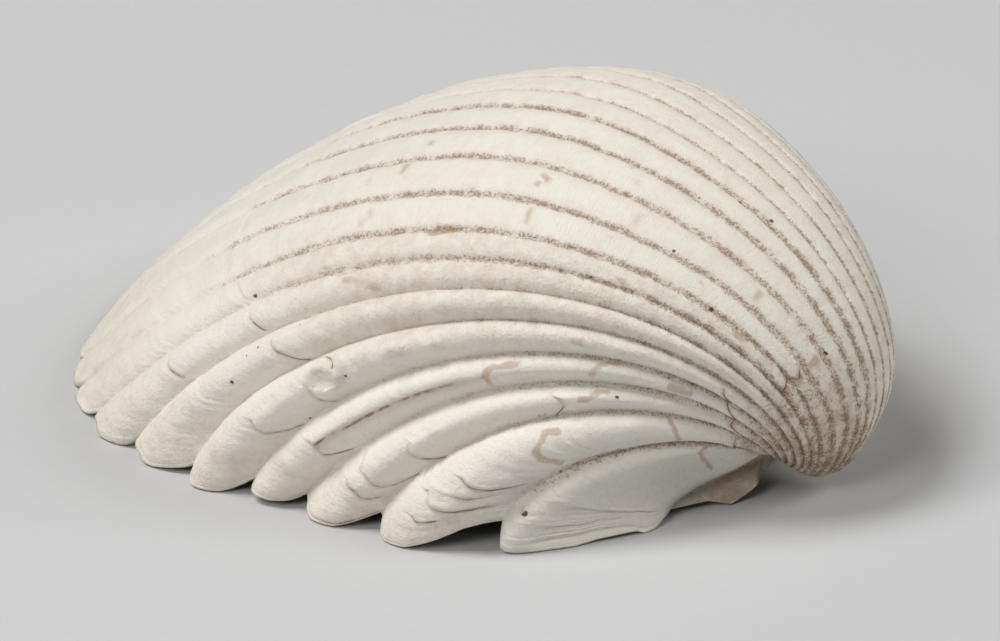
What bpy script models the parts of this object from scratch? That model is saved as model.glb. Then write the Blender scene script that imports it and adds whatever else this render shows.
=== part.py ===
"""One valve of a cockle shell, lying on its margin with the hollow side down.

The valve is modelled the way it grew. Each stage of growth is a flat outline that starts at the
hinge and runs round the valve. Older outlines are smaller and lie further round the hinge axis,
so together they coil into the beak. Ribs and grooves keep their place on every outline. The wall
closes under the hinge, and an inner skin follows the outer one at the thickness of the shell.

Angles are in degrees round the outline: -100 is the hinge end of the posterior side, 0 points
away from the beak and +100 is the hinge end of the anterior side. Turns are in degrees round the
hinge axis, counted back from the free margin. Lengths are millimetres, and MM makes them metres.
"""

import bmesh
import bpy
import numpy as np

MM = 0.001

# The hinge runs from the posterior end of the outline to the anterior end.
POSTERIOR_END = -100.0
ANTERIOR_END = 100.0

# The full-grown outline: how far the margin lies from the hinge axis at each angle.
OUTLINE_ANGLES = (POSTERIOR_END, -80, -62, -45, -25, 0, 25, 50, 75, ANTERIOR_END)
OUTLINE_REACH = (4.5, 10.3, 29.3, 36.9, 56.1, 68.0, 67.0, 35.9, 20.8, 9.2)

# The coil: height of the hinge axis over the margin, and how an outline shrinks with the turn.
AXIS_HEIGHT = 4.13
SHRINK_RATE = (0.885, 0.2167, -0.1847, 0.0304)
WIDTH_GAIN = (0.656, -0.1855)
SIDE_DRIFT = -0.70
COIL_TURN = 232.0
BEAK_ROUNDING = 34.0

# Grooves, from the hinge end of the posterior side to the middle of the valve.
POSTERIOR_GROOVES = (-78.0, -63.4, -49.8, -41.8, -36.2, -31.0, -26.6, -22.5, -18.3)
MIDDLE_GROOVES = (-12.6, -6.2, -0.5, 4.3, 8.4, 12.6, 16.9, 20.6)
ANTERIOR_RIB_WIDTH = 4.6
ANTERIOR_RIB_TAPER = 0.965
LAST_GROOVE_LIMIT = 86.0
GROOVE_SEARCH_STEP = 0.05

# How far each groove bends sideways close to the margin, and the age over which that fades.
NOTCH_SHIFTS = (0.0, -0.9, -0.2, 0.55, -0.6, -1.2, 0.0, 1.3, 2.3, 1.5, 0.8)
NOTCH_SHIFT_FADE = 4.5

# Ribs: height over the groove floors at full size, of the old shell and of the last growth.
POSTERIOR_RIB_HEIGHTS = (1.9, 2.1, 2.3, 2.1, 2.1, 1.7, 1.2, 0.8)
MARGIN_RIB_HEIGHTS = (1.95, 1.45, 2.1, 1.5, 1.85, 1.1, 0.9, 0.5)
MARGIN_RIB_AGE = 10.0
MIDDLE_RIB_HEIGHT = 0.5
ANTERIOR_RIB_HEIGHT = 0.75
RIB_HEIGHT_POWER = 0.75
POSTERIOR_FLATNESS = (3.4, 2.1, 2.1, 2.1, 2.1, 2.2, 2.6, 3.2)
POSTERIOR_LEAN = (1.0, 1.10, 1.0, 1.15, 1.10, 1.05, 1.0, 1.0)
PLAIN_FLATNESS = 5.0
# The rib beside the shelf has a fold along its lower edge, a hollow face and a sharp crest.
FACE_PLACES = (0.0, 0.05, 0.13, 0.24, 0.42, 0.62, 0.78, 0.89, 1.0)
FACE_HEIGHTS = (0.0, 0.42, 0.62, 0.50, 0.42, 0.62, 1.0, 0.92, 0.0)
FACE_SHARE_AT_MARGIN = 0.25
FACE_FADE_AGE = 4.0

# The whole skin swells and sinks a little with age, except on the posterior side.
SWELL_AGES = (0, 8, 20, 28, 34, 41, 54, 62, 80, 100, 115, 134, 150, 165, 184, 205, 232)
SWELL_HEIGHTS = (0.0, -0.2, -0.42, -0.22, 0.0, 0.3, 0.3, 0.0, -0.18, -0.1, 0.0, 0.2, 0.25,
                 0.05, -0.08, 0.4, 0.3)
SWELL_ANGLES = (-30.0, -8.0)

# The shelf beside the beak hangs out along the valve and down, by these amounts at some turns.
PUSH_ANGLES = (-92.0, -85.0, -78.0, -63.4)
PUSH_TURNS = (0, 15, 30, 50, 75, 100, 130, 170, 232)
PUSH_ALONG = ((2.1, 2.1, 2.1, 2.0, 2.0, 1.9, 1.7, 0.9, 0.0),
              (1.0, 1.0, 1.0, 1.1, 1.4, 1.7, 1.7, 0.9, 0.0),
              (0.0, 0.0, 0.1, 0.5, 1.3, 1.8, 1.7, 0.9, 0.0),
              (0.0, 0.0, 0.0, 0.0, 0.0, 0.0, 0.0, 0.0, 0.0))
PUSH_DOWN = ((0.0, 0.0, 0.2, 0.5, 0.9, 1.0, 0.9, 0.4, 0.0),
             (0.0, 0.1, 0.3, 0.8, 1.2, 1.1, 0.9, 0.4, 0.0),
             (0.2, 0.7, 1.3, 1.6, 1.6, 1.2, 0.9, 0.4, 0.0),
             (0.0, 0.0, 0.0, 0.0, 0.0, 0.0, 0.0, 0.0, 0.0))

# Margin: its height over the floor at places across each posterior rib. The worn tips are at 0.
POSTERIOR_EDGES = (
    ((0.0, 0.55), (0.06, 0.5), (0.14, 0.05), (0.2, 0.0), (0.25, 0.3), (0.45, 0.25), (0.53, 0.0),
     (0.92, 0.0), (1.0, 2.2)),
    ((0.0, 2.2), (0.1, 2.2), (0.2, 1.95), (0.33, 0.8), (0.42, 0.3), (0.5, 0.0), (0.7, 0.0),
     (0.76, 0.2), (0.84, 0.8), (0.92, 1.35), (1.0, 1.35)),
    ((0.0, 1.35), (0.08, 0.85), (0.17, 0.4), (0.3, 0.0), (0.72, 0.0), (0.84, 0.4), (0.92, 0.95),
     (1.0, 1.15)),
    ((0.0, 1.15), (0.07, 0.7), (0.16, 0.47), (0.42, 0.45), (0.6, 0.55), (0.8, 0.6), (0.92, 0.9),
     (1.0, 1.4)),
    ((0.0, 1.4), (0.08, 0.8), (0.17, 0.25), (0.25, 0.0), (0.66, 0.0), (0.75, 0.15), (0.85, 0.4),
     (1.0, 1.1)),
    ((0.0, 1.1), (0.08, 0.5), (0.2, 0.28), (0.38, 0.0), (0.5, 0.0), (0.58, 0.2), (0.7, 0.55),
     (1.0, 1.0)),
    ((0.0, 1.0), (0.07, 0.1), (0.12, 0.0), (0.45, 0.0), (0.55, 0.25), (0.67, 0.6), (1.0, 0.7)),
    ((0.0, 0.7), (0.15, 0.1), (0.3, 0.0), (0.7, 0.0), (1.0, 0.6)),
)
PLAIN_NOTCH = 0.5
TIP_WEAR = 1.18
HINGE_RISE = 1.6
SHELF_CORNER = -85.0
SHELF_EDGE_ANGLES = (POSTERIOR_END, -92.0, SHELF_CORNER, -82.0, -78.0)
SHELF_EDGE_HEIGHTS = (2.3, 1.15, 0.1, 0.6, 0.55)

# Wall: its width at the margin and inside, and the hinge plate with its teeth.
RIM_WIDTH = 1.1
WALL_WIDTH = 1.9
RIM_ROUNDING_TURN = 3.5
PLATE_WIDTH = 4.2
PLATE_FADE_TURN = 16.0
PLATE_ANGLES = (POSTERIOR_END, -84.0, -70.0, 72.0, 88.0, ANTERIOR_END)
PLATE_SHARES = (1.0, 0.7, 0.0, 0.0, 0.6, 1.0)
FLUTE_TURN = 9.0
FLUTE_DEPTH = 0.8
HOLLOW_TURN = 120.0
HOLLOW_CENTRE = (-0.42, 1.5)
# Each tooth: place along the hinge from the anterior end, 0 to 1, its height and its half width.
HINGE_TEETH = ((0.40, 1.2, 0.09), (0.60, 1.0, 0.08))

# Two growth ledges cross the ribs: their turn, height and the angles that they fade between.
LEDGES = ((7.5, 0.35), (17.0, 0.30))
LEDGE_WIDTH_TURN = 0.7
LEDGE_FADE_TURN = 6.0
LEDGE_ANGLES = (-66.0, -60.0, -36.0, -18.0)
LEDGE_SHARES = (0.0, 1.0, 1.0, 0.0)

# Facets: places across a rib, parts of the hinge line, turns of the outer rows and hollow rows.
WIDE_RIB_STEPS = (0.0, 0.14, 0.32, 0.5, 0.68, 0.86)
NARROW_RIB_STEPS = (0.0, 0.16, 0.5, 0.84)
FACE_RIB_STEPS = (0.0, 0.13, 0.27, 0.5, 0.66, 0.78, 0.9)
FINE_RIB_STEPS = (0.0, 0.22, 0.78)
SHELF_STEPS = (POSTERIOR_END, -93.0, -88.0, SHELF_CORNER, -82.0, -79.0)
LUNULE_STEPS = (91.0, 96.0, ANTERIOR_END)
HINGE_PARTS = 8
OUTER_ROWS = (0.0, 3.4, 7.2, 7.9, 12.0, 16.7, 17.4, 25.0, 35.0, 47.0, 60.0, 74.0, 90.0, 108.0,
              128.0, 150.0, 174.0, 198.0, 213.0, 224.0, 230.0)
HOLLOW_ROWS = (2.5, 6.5, 14.0, 29.0, 50.0, 75.0, 97.0, 112.0)
MARGIN_SEARCH = (-14.0, 40.0)
SEARCH_STEPS = 40
SLOPE_STEP = 0.2


def smooth_curve(places, values, wanted):
    """Read a natural cubic spline through the given places and values."""
    x = np.asarray(places, float)
    y = np.asarray(values, float)
    gap = np.diff(x)
    slope = np.diff(y) / gap
    system = np.eye(len(x))
    right = np.zeros(len(x))
    for i in range(1, len(x) - 1):
        system[i, i - 1:i + 2] = gap[i - 1], 2 * (gap[i - 1] + gap[i]), gap[i]
        right[i] = 6 * (slope[i] - slope[i - 1])
    bend = np.linalg.solve(system, right)
    i = np.clip(np.searchsorted(x, wanted) - 1, 0, len(gap) - 1)
    before = (x[i + 1] - wanted) / gap[i]
    after = (wanted - x[i]) / gap[i]
    curve = (before**3 - before) * bend[i] + (after**3 - after) * bend[i + 1]
    return before * y[i] + after * y[i + 1] + curve * gap[i]**2 / 6


def outline_point(angle):
    """Place on the full-grown outline, from the hinge axis, for each angle."""
    reach = smooth_curve(OUTLINE_ANGLES, OUTLINE_REACH, angle)
    turn = np.radians(angle)
    return -reach * np.cos(turn), reach * np.sin(turn)


def size_at(turn):
    """Size of the outline at each turn, where 1 is the full-grown margin."""
    t = np.radians(turn)
    power = sum(rate * t**(i + 1) for i, rate in enumerate(SHRINK_RATE))
    tip = np.clip((turn - (COIL_TURN - BEAK_ROUNDING)) / BEAK_ROUNDING, 0, 1)
    return np.exp(-power) * np.sqrt(1 - tip**2)


def coil(x, y, turn):
    """Carry a place on the full-grown outline back to where it was at an earlier turn."""
    t = np.radians(turn)
    size = size_at(turn)
    width = size * np.exp(WIDTH_GAIN[0] * t + WIDTH_GAIN[1] * t**2)
    along = size * (x * np.cos(t) - AXIS_HEIGHT * np.sin(t))
    up = size * (-x * np.sin(t) - AXIS_HEIGHT * np.cos(t)) + AXIS_HEIGHT
    across = width * y + SIDE_DRIFT * (1 - np.exp(-t))
    return np.stack([along, across, up], axis=-1)


def anterior_grooves():
    """Walk along the outline from the last middle groove, one rib width at a time."""
    grooves = []
    angle = MIDDLE_GROOVES[-1]
    width = ANTERIOR_RIB_WIDTH
    while True:
        walked = 0.0
        x, y = outline_point(angle)
        while walked < width:
            angle += GROOVE_SEARCH_STEP
            x_next, y_next = outline_point(angle)
            walked += np.hypot(x_next - x, y_next - y)
            x, y = x_next, y_next
        if angle > LAST_GROOVE_LIMIT:
            return tuple(grooves)
        grooves.append(angle)
        width *= ANTERIOR_RIB_TAPER


GROOVES = np.array(POSTERIOR_GROOVES + MIDDLE_GROOVES + anterior_grooves())
POSTERIOR_RIBS = len(POSTERIOR_RIB_HEIGHTS)
RIBS = len(GROOVES) - 1


def rib_heights():
    """Height of every rib: posterior ribs as listed, then low flat ones, then rounder ones."""
    middle = len(MIDDLE_GROOVES)
    front = RIBS - POSTERIOR_RIBS - middle
    rising = np.linspace(MIDDLE_RIB_HEIGHT, ANTERIOR_RIB_HEIGHT, front)
    return np.concatenate([POSTERIOR_RIB_HEIGHTS, np.full(middle, MIDDLE_RIB_HEIGHT), rising])


def place_on_rib(angle):
    """The rib at each angle, and the place across it, 0 to 1 from its posterior groove."""
    rib = np.clip(np.searchsorted(GROOVES, angle, side="right") - 1, 0, RIBS - 1)
    across = (angle - GROOVES[rib]) / (GROOVES[rib + 1] - GROOVES[rib])
    return rib, np.clip(across, 0, 1)


def rib_crown(angle, age):
    """Shape across the ribs: 0 in the grooves, 1 on the crests, rounder on posterior ribs."""
    rib, across = place_on_rib(angle)
    plain = RIBS - POSTERIOR_RIBS
    flatness = np.array(list(POSTERIOR_FLATNESS) + [PLAIN_FLATNESS] * plain)
    lean = np.array(list(POSTERIOR_LEAN) + [1.0] * plain)
    crown = 1 - np.abs(1 - 2 * across**lean[rib])**flatness[rib]
    face = np.clip(smooth_curve(FACE_PLACES, FACE_HEIGHTS, across), 0, None)
    share = np.clip(FACE_SHARE_AT_MARGIN + age / FACE_FADE_AGE, 0, 1)
    return np.where(rib == 0, crown + (face - crown) * share, crown)


def rib_relief(angle, turn, age):
    """Height of the ribs over the groove floors at each angle, turn and age."""
    rib, _ = place_on_rib(angle)
    old = rib_heights()
    young = np.concatenate([MARGIN_RIB_HEIGHTS, old[POSTERIOR_RIBS:]])
    height = old[rib] + (young - old)[rib] * np.exp(-(age / MARGIN_RIB_AGE)**2)
    return height * rib_crown(angle, age) * size_at(turn)**RIB_HEIGHT_POWER


def swell(angle, age):
    """How far the skin swells out or sinks in at each angle and age."""
    share = np.clip((angle - SWELL_ANGLES[0]) / np.ptp(SWELL_ANGLES), 0, 1)
    return smooth_curve(SWELL_AGES, SWELL_HEIGHTS, age) * share


def bent_angle(angle, age):
    """Angle at which a column really runs: close to the margin it bends with its groove."""
    shifts = np.zeros(len(GROOVES))
    shifts[:len(NOTCH_SHIFTS)] = NOTCH_SHIFTS
    return angle + np.interp(angle, GROOVES, shifts) * np.exp(-age / NOTCH_SHIFT_FADE)


def shelf_push(angle, hinge, turn):
    """How far the shelf hangs out and down at each place. On the hinge it fades to one end."""
    push = np.zeros(np.shape(turn) + (3,))
    for i, (along, down) in enumerate(zip(PUSH_ALONG, PUSH_DOWN)):
        share = np.interp(angle, PUSH_ANGLES, np.eye(len(PUSH_ANGLES))[i])
        if i == 0:
            share = share + hinge
        push[..., 0] += share * smooth_curve(PUSH_TURNS, along, turn)
        push[..., 2] -= share * smooth_curve(PUSH_TURNS, down, turn)
    return push


def ledge_relief(angle, age):
    """Older shell stands a step proud of the shell that grew out from under it."""
    fade = np.interp(angle, LEDGE_ANGLES, LEDGE_SHARES)
    relief = np.zeros_like(age)
    for turn, height in LEDGES:
        step = np.clip((age - turn) / LEDGE_WIDTH_TURN, 0, 1)
        relief += height * fade * step * np.exp(-np.clip(age - turn, 0, None) / LEDGE_FADE_TURN)
    return relief


def margin_height(angle, hinge):
    """Height of the margin over the floor: notches at the grooves, worn tips on the ribs."""
    worn = np.clip(1 - TIP_WEAR * rib_crown(angle, np.zeros_like(angle)), 0, 1)
    edge = PLAIN_NOTCH * worn
    rib, across = place_on_rib(angle)
    for i, points in enumerate(POSTERIOR_EDGES):
        places, heights = zip(*points)
        edge = np.where(rib == i, np.interp(across, places, heights), edge)
    shelf = np.interp(angle, SHELF_EDGE_ANGLES, SHELF_EDGE_HEIGHTS)
    lunule = np.interp(angle, (GROOVES[-1], ANTERIOR_END), (PLAIN_NOTCH, HINGE_RISE))
    edge = np.where(angle < GROOVES[0], shelf, np.where(angle > GROOVES[-1], lunule, edge))
    return np.where(hinge > 0, HINGE_RISE + (SHELF_EDGE_HEIGHTS[0] - HINGE_RISE) * hinge, edge)


def column_places():
    """Angle of every column of facets, and how far the hinge columns lie along the hinge."""
    angles = list(SHELF_STEPS)
    for rib in range(RIBS):
        steps = NARROW_RIB_STEPS if rib < POSTERIOR_RIBS + len(MIDDLE_GROOVES) else FINE_RIB_STEPS
        if rib < POSTERIOR_RIBS:
            steps = WIDE_RIB_STEPS
        if rib == 0:
            steps = FACE_RIB_STEPS
        width = GROOVES[rib + 1] - GROOVES[rib]
        angles += [GROOVES[rib] + width * step for step in steps]
    angles += [GROOVES[-1]] + list(LUNULE_STEPS)
    along_hinge = np.linspace(0, 1, HINGE_PARTS + 1)[1:-1]
    hinge = np.concatenate([np.zeros(len(angles)), along_hinge])
    return np.concatenate([angles, np.full(len(along_hinge), ANTERIOR_END)]), hinge


def skin(angle, hinge, turn, relief):
    """Points on the outer skin. Between the ends of the hinge, the wall runs straight."""
    def bare(some_angle, some_turn):
        x, y = outline_point(some_angle)
        x_end, y_end = outline_point(np.full_like(some_angle, POSTERIOR_END))
        grown = coil(x + (x_end - x) * hinge, y + (y_end - y) * hinge, some_turn)
        return grown + shelf_push(some_angle, hinge, some_turn)

    along = bare(angle, turn + SLOPE_STEP) - bare(angle, turn - SLOPE_STEP)
    next_angle = np.minimum(angle + SLOPE_STEP, ANTERIOR_END)
    across = bare(next_angle, turn) - bare(angle - SLOPE_STEP, turn)
    outward = np.cross(along, across)
    outward /= np.linalg.norm(outward, axis=-1, keepdims=True) + 1e-12
    return bare(angle, turn) + outward * relief[..., None]


def outer_relief(angle, hinge, turn, age):
    """Ribs and ledges together. The hinge wall has neither."""
    ribbed = (angle > GROOVES[0]) & (angle < GROOVES[-1]) & (hinge == 0)
    relief = rib_relief(angle, turn, age) + ledge_relief(angle, age) * rib_crown(angle, age)
    return np.where(ribbed, relief + swell(angle, age), 0)


def margin_turn(angle, hinge, height):
    """The turn at which the outer skin comes down to the margin's height, by halving."""
    low = np.full_like(angle, MARGIN_SEARCH[0])
    high = np.full_like(angle, MARGIN_SEARCH[1])
    for _ in range(SEARCH_STEPS):
        middle = (low + high) / 2
        relief = outer_relief(angle, hinge, middle, np.zeros_like(angle))
        above = skin(bent_angle(angle, 0), hinge, middle, relief)[:, 2] > height
        high = np.where(above, middle, high)
        low = np.where(above, low, middle)
    return (low + high) / 2


def hollow_skin(angle, hinge, turn, age):
    """Points on the inner skin, a wall's width in from the outer one."""
    flute = FLUTE_DEPTH * np.exp(-(age / FLUTE_TURN)**2)
    relief = outer_relief(angle, hinge, turn, np.zeros_like(age))
    near = skin(bent_angle(angle, age), hinge, turn, relief * flute)
    reach = OUTLINE_REACH[OUTLINE_ANGLES.index(0)]
    centre = coil(np.full_like(angle, HOLLOW_CENTRE[0] * reach),
                  np.full_like(angle, HOLLOW_CENTRE[1]), turn)
    inward = centre - near
    distance = np.linalg.norm(inward, axis=-1)
    rounding = 1 - np.exp(-age / RIM_ROUNDING_TURN)
    width = RIM_WIDTH + (WALL_WIDTH - RIM_WIDTH) * rounding
    plate = np.interp(angle, PLATE_ANGLES, PLATE_SHARES)
    width = width + (PLATE_WIDTH - RIM_WIDTH) * plate * np.exp(-age / PLATE_FADE_TURN)
    closing = np.sqrt(1 - (age / HOLLOW_TURN)**4)
    kept = (distance - width) * closing
    return centre - inward / distance[:, None] * kept[:, None]


def tooth_height(angle, hinge):
    """How far the hinge teeth stand down from the hinge plate."""
    height = np.zeros_like(angle)
    for place, tall, half_width in HINGE_TEETH:
        height += tall * np.clip(1 - ((hinge - place) / half_width)**2, 0, 1)
    return np.where(angle >= ANTERIOR_END, height, 0)


def valve_rows():
    """Rings of points from the tip of the beak, over the margin, to the top of the hollow."""
    angle, hinge = column_places()
    height = margin_height(angle, hinge)
    start = margin_turn(angle, hinge, height)
    rows = []
    for age in reversed(OUTER_ROWS):
        turn = age + start * (1 - age / COIL_TURN)
        age_row = np.full_like(angle, age)
        relief = outer_relief(angle, hinge, turn, age_row)
        rows.append(skin(bent_angle(angle, age), hinge, turn, relief))
    edge = rows[-1]
    edge[:, 2] = height
    inner_edge = hollow_skin(angle, hinge, start, np.zeros_like(angle))
    inner_edge[:, 2] = height
    middle_edge = (edge + inner_edge) / 2
    middle_edge[:, 2] -= tooth_height(angle, hinge)
    rows += [middle_edge, inner_edge]
    for age in HOLLOW_ROWS:
        turn = age + np.maximum(start, 0) * (1 - age / HOLLOW_TURN)
        rows.append(hollow_skin(angle, hinge, turn, np.full_like(angle, age)))
    tip = coil(0.0, 0.0, COIL_TURN)
    reach = OUTLINE_REACH[OUTLINE_ANGLES.index(0)]
    top = coil(HOLLOW_CENTRE[0] * reach, HOLLOW_CENTRE[1], HOLLOW_TURN)
    poles = [np.tile(tip, (len(angle), 1)), np.tile(top, (len(angle), 1))]
    return np.array([poles[0]] + rows + [poles[1]])


def stand_on_floor(points):
    """Move the points so that their box stands on the floor, centred on the origin."""
    low = points.reshape(-1, 3).min(axis=0)
    high = points.reshape(-1, 3).max(axis=0)
    return points - np.array([(low[0] + high[0]) / 2, (low[1] + high[1]) / 2, low[2]])


def valve_mesh(rows):
    """A grid wrapped over the rings: its side edges meet, and its end rows close to points."""
    ring_count, column_count = rows.shape[:2]
    mesh = bmesh.new()
    bmesh.ops.create_grid(mesh, x_segments=column_count, y_segments=ring_count - 1, size=1.0)
    for vertex in mesh.verts:
        column = round((vertex.co.x + 1) / 2 * column_count) % column_count
        ring = round((vertex.co.y + 1) / 2 * (ring_count - 1))
        vertex.co = rows[ring, column] * MM
    bmesh.ops.remove_doubles(mesh, verts=mesh.verts, dist=1e-7)
    bmesh.ops.triangulate(mesh, faces=mesh.faces, quad_method="SHORT_EDGE")
    bmesh.ops.recalc_face_normals(mesh, faces=mesh.faces)
    return mesh


def shell_material():
    """Chalky ivory shell with a faint satin sheen."""
    material = bpy.data.materials.new("ivory_shell")
    material.use_nodes = True
    shader = material.node_tree.nodes["Principled BSDF"]
    shader.inputs["Base Color"].default_value = (0.8, 0.76, 0.7, 1.0)
    shader.inputs["Roughness"].default_value = 0.55
    shader.inputs["Metallic"].default_value = 0.0
    return material


def build():
    """Make the valve as the only object of the scene."""
    for thing in list(bpy.data.objects):
        bpy.data.objects.remove(thing)
    mesh = valve_mesh(stand_on_floor(valve_rows()))
    data = bpy.data.meshes.new("valve")
    mesh.to_mesh(data)
    mesh.free()
    data.materials.append(shell_material())
    data.shade_smooth()
    data.set_sharp_from_angle(angle=np.radians(40))
    valve = bpy.data.objects.new("valve", data)
    bpy.context.scene.collection.objects.link(valve)


build()
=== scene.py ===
"""Looks of the cockle valve: a finely modelled shell skin, its chalky finish and a plain studio.

The skin is grown the same way as the CAD part. Each stage of growth is a flat outline that starts
at the hinge, and older outlines are smaller and lie further round the hinge axis. On top of that
come the things that only show up close: growth ledges, a healed scar, an angular ridge on the rib
beside the shelf, fine growth lines, brown grains in the grooves, thin grime, tan marks and small
borings. The finish also paints shade: a dark line with a tan halo along the ledge steps and the
crease, drawn like the real cracks. It also paints light, which makes the posterior ribs whiter.

Angles are degrees round the outline, ages and turns are degrees round the hinge axis counted back
from the free margin, and lengths are millimetres in the growth drawing. Meshes are in metres.
"""

import logging
import math
from dataclasses import dataclass, field
from enum import Enum

import bmesh
import bpy
import numpy as np
from mathutils import Matrix, Vector, noise


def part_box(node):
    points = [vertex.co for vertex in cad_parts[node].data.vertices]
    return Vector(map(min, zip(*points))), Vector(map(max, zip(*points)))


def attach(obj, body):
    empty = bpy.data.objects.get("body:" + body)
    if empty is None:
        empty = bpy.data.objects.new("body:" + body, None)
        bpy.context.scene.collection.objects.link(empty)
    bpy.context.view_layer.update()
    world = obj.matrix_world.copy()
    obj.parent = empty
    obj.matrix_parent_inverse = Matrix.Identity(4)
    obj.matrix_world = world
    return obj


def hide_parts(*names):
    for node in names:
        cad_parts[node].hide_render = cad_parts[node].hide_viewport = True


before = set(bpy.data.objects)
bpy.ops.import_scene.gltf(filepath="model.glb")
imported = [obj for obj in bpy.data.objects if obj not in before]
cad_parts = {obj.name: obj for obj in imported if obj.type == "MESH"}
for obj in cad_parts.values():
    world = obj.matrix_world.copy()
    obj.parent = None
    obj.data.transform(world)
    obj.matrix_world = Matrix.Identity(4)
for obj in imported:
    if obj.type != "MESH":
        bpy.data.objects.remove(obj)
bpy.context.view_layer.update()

LOG = logging.getLogger("cockle")
MM = 0.001
NOISE_MEAN = 0.5
Array = np.ndarray
Colour = tuple[float, float, float]


class Age(Enum):
    """Rows of the skin that are kept for growth ledges, with their usual age in degrees."""

    LIP = 0.9
    YOUNG = 6.5
    MAIN = 10.0
    LATE = 14.0
    OLD = 18.0
    HALF_GROWN = 50.0
    JUVENILE = 126.0


class Tone(Enum):
    """Colours that a small boring may have."""

    RED_BROWN = (0.075, 0.018, 0.008)
    BLACK = (0.006, 0.005, 0.004)
    BROWN = (0.11, 0.055, 0.025)


def smoothstep(low: float, high: float, value: Array) -> Array:
    """Ease from 0 to 1 while a value goes from low to high.

    Args:
        low: value where the result leaves 0.
        high: value where the result reaches 1.
        value: numbers to ease.

    Returns:
        Eased numbers, 0 to 1.
    """
    t = np.clip((value - low) / (high - low), 0, 1)
    return t * t * (3 - 2 * t)


def soft_window(ends: tuple[float, float, float, float], value: Array) -> Array:
    """Ease from 0 to 1 between the first two ends and back to 0 between the last two."""
    return smoothstep(ends[0], ends[1], value) * (1 - smoothstep(ends[2], ends[3], value))


def smooth_curve(places: tuple[float, ...], values: tuple[float, ...], wanted: Array) -> Array:
    """Read a natural cubic spline.

    Args:
        places: rising places of the spline's points.
        values: the spline's value at each place.
        wanted: places to read.

    Returns:
        The spline's values at the wanted places.
    """
    x = np.asarray(places, float)
    y = np.asarray(values, float)
    gap = np.diff(x)
    slope = np.diff(y) / gap
    system = np.eye(len(x))
    right = np.zeros(len(x))
    for i in range(1, len(x) - 1):
        system[i, i - 1:i + 2] = gap[i - 1], 2 * (gap[i - 1] + gap[i]), gap[i]
        right[i] = 6 * (slope[i] - slope[i - 1])
    bend = np.linalg.solve(system, right)
    i = np.clip(np.searchsorted(x, wanted) - 1, 0, len(gap) - 1)
    before = (x[i + 1] - wanted) / gap[i]
    after = (wanted - x[i]) / gap[i]
    curve = (before**3 - before) * bend[i] + (after**3 - after) * bend[i + 1]
    return before * y[i] + after * y[i + 1] + curve * gap[i]**2 / 6


def noise_at(points: Array, scale: float, seed: float = 0.0) -> Array:
    """Gentle noise at points in millimetres.

    Args:
        points: places, with x, y and z last.
        scale: waves per millimetre.
        seed: moves the pattern, so that two calls differ.

    Returns:
        Numbers from about -1 to 1, in the shape of the points without their last side.
    """
    flat = points.reshape(-1, 3) * scale + seed
    values = [noise.noise(Vector(point)) for point in flat]
    return np.array(values).reshape(points.shape[:-1])


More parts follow.
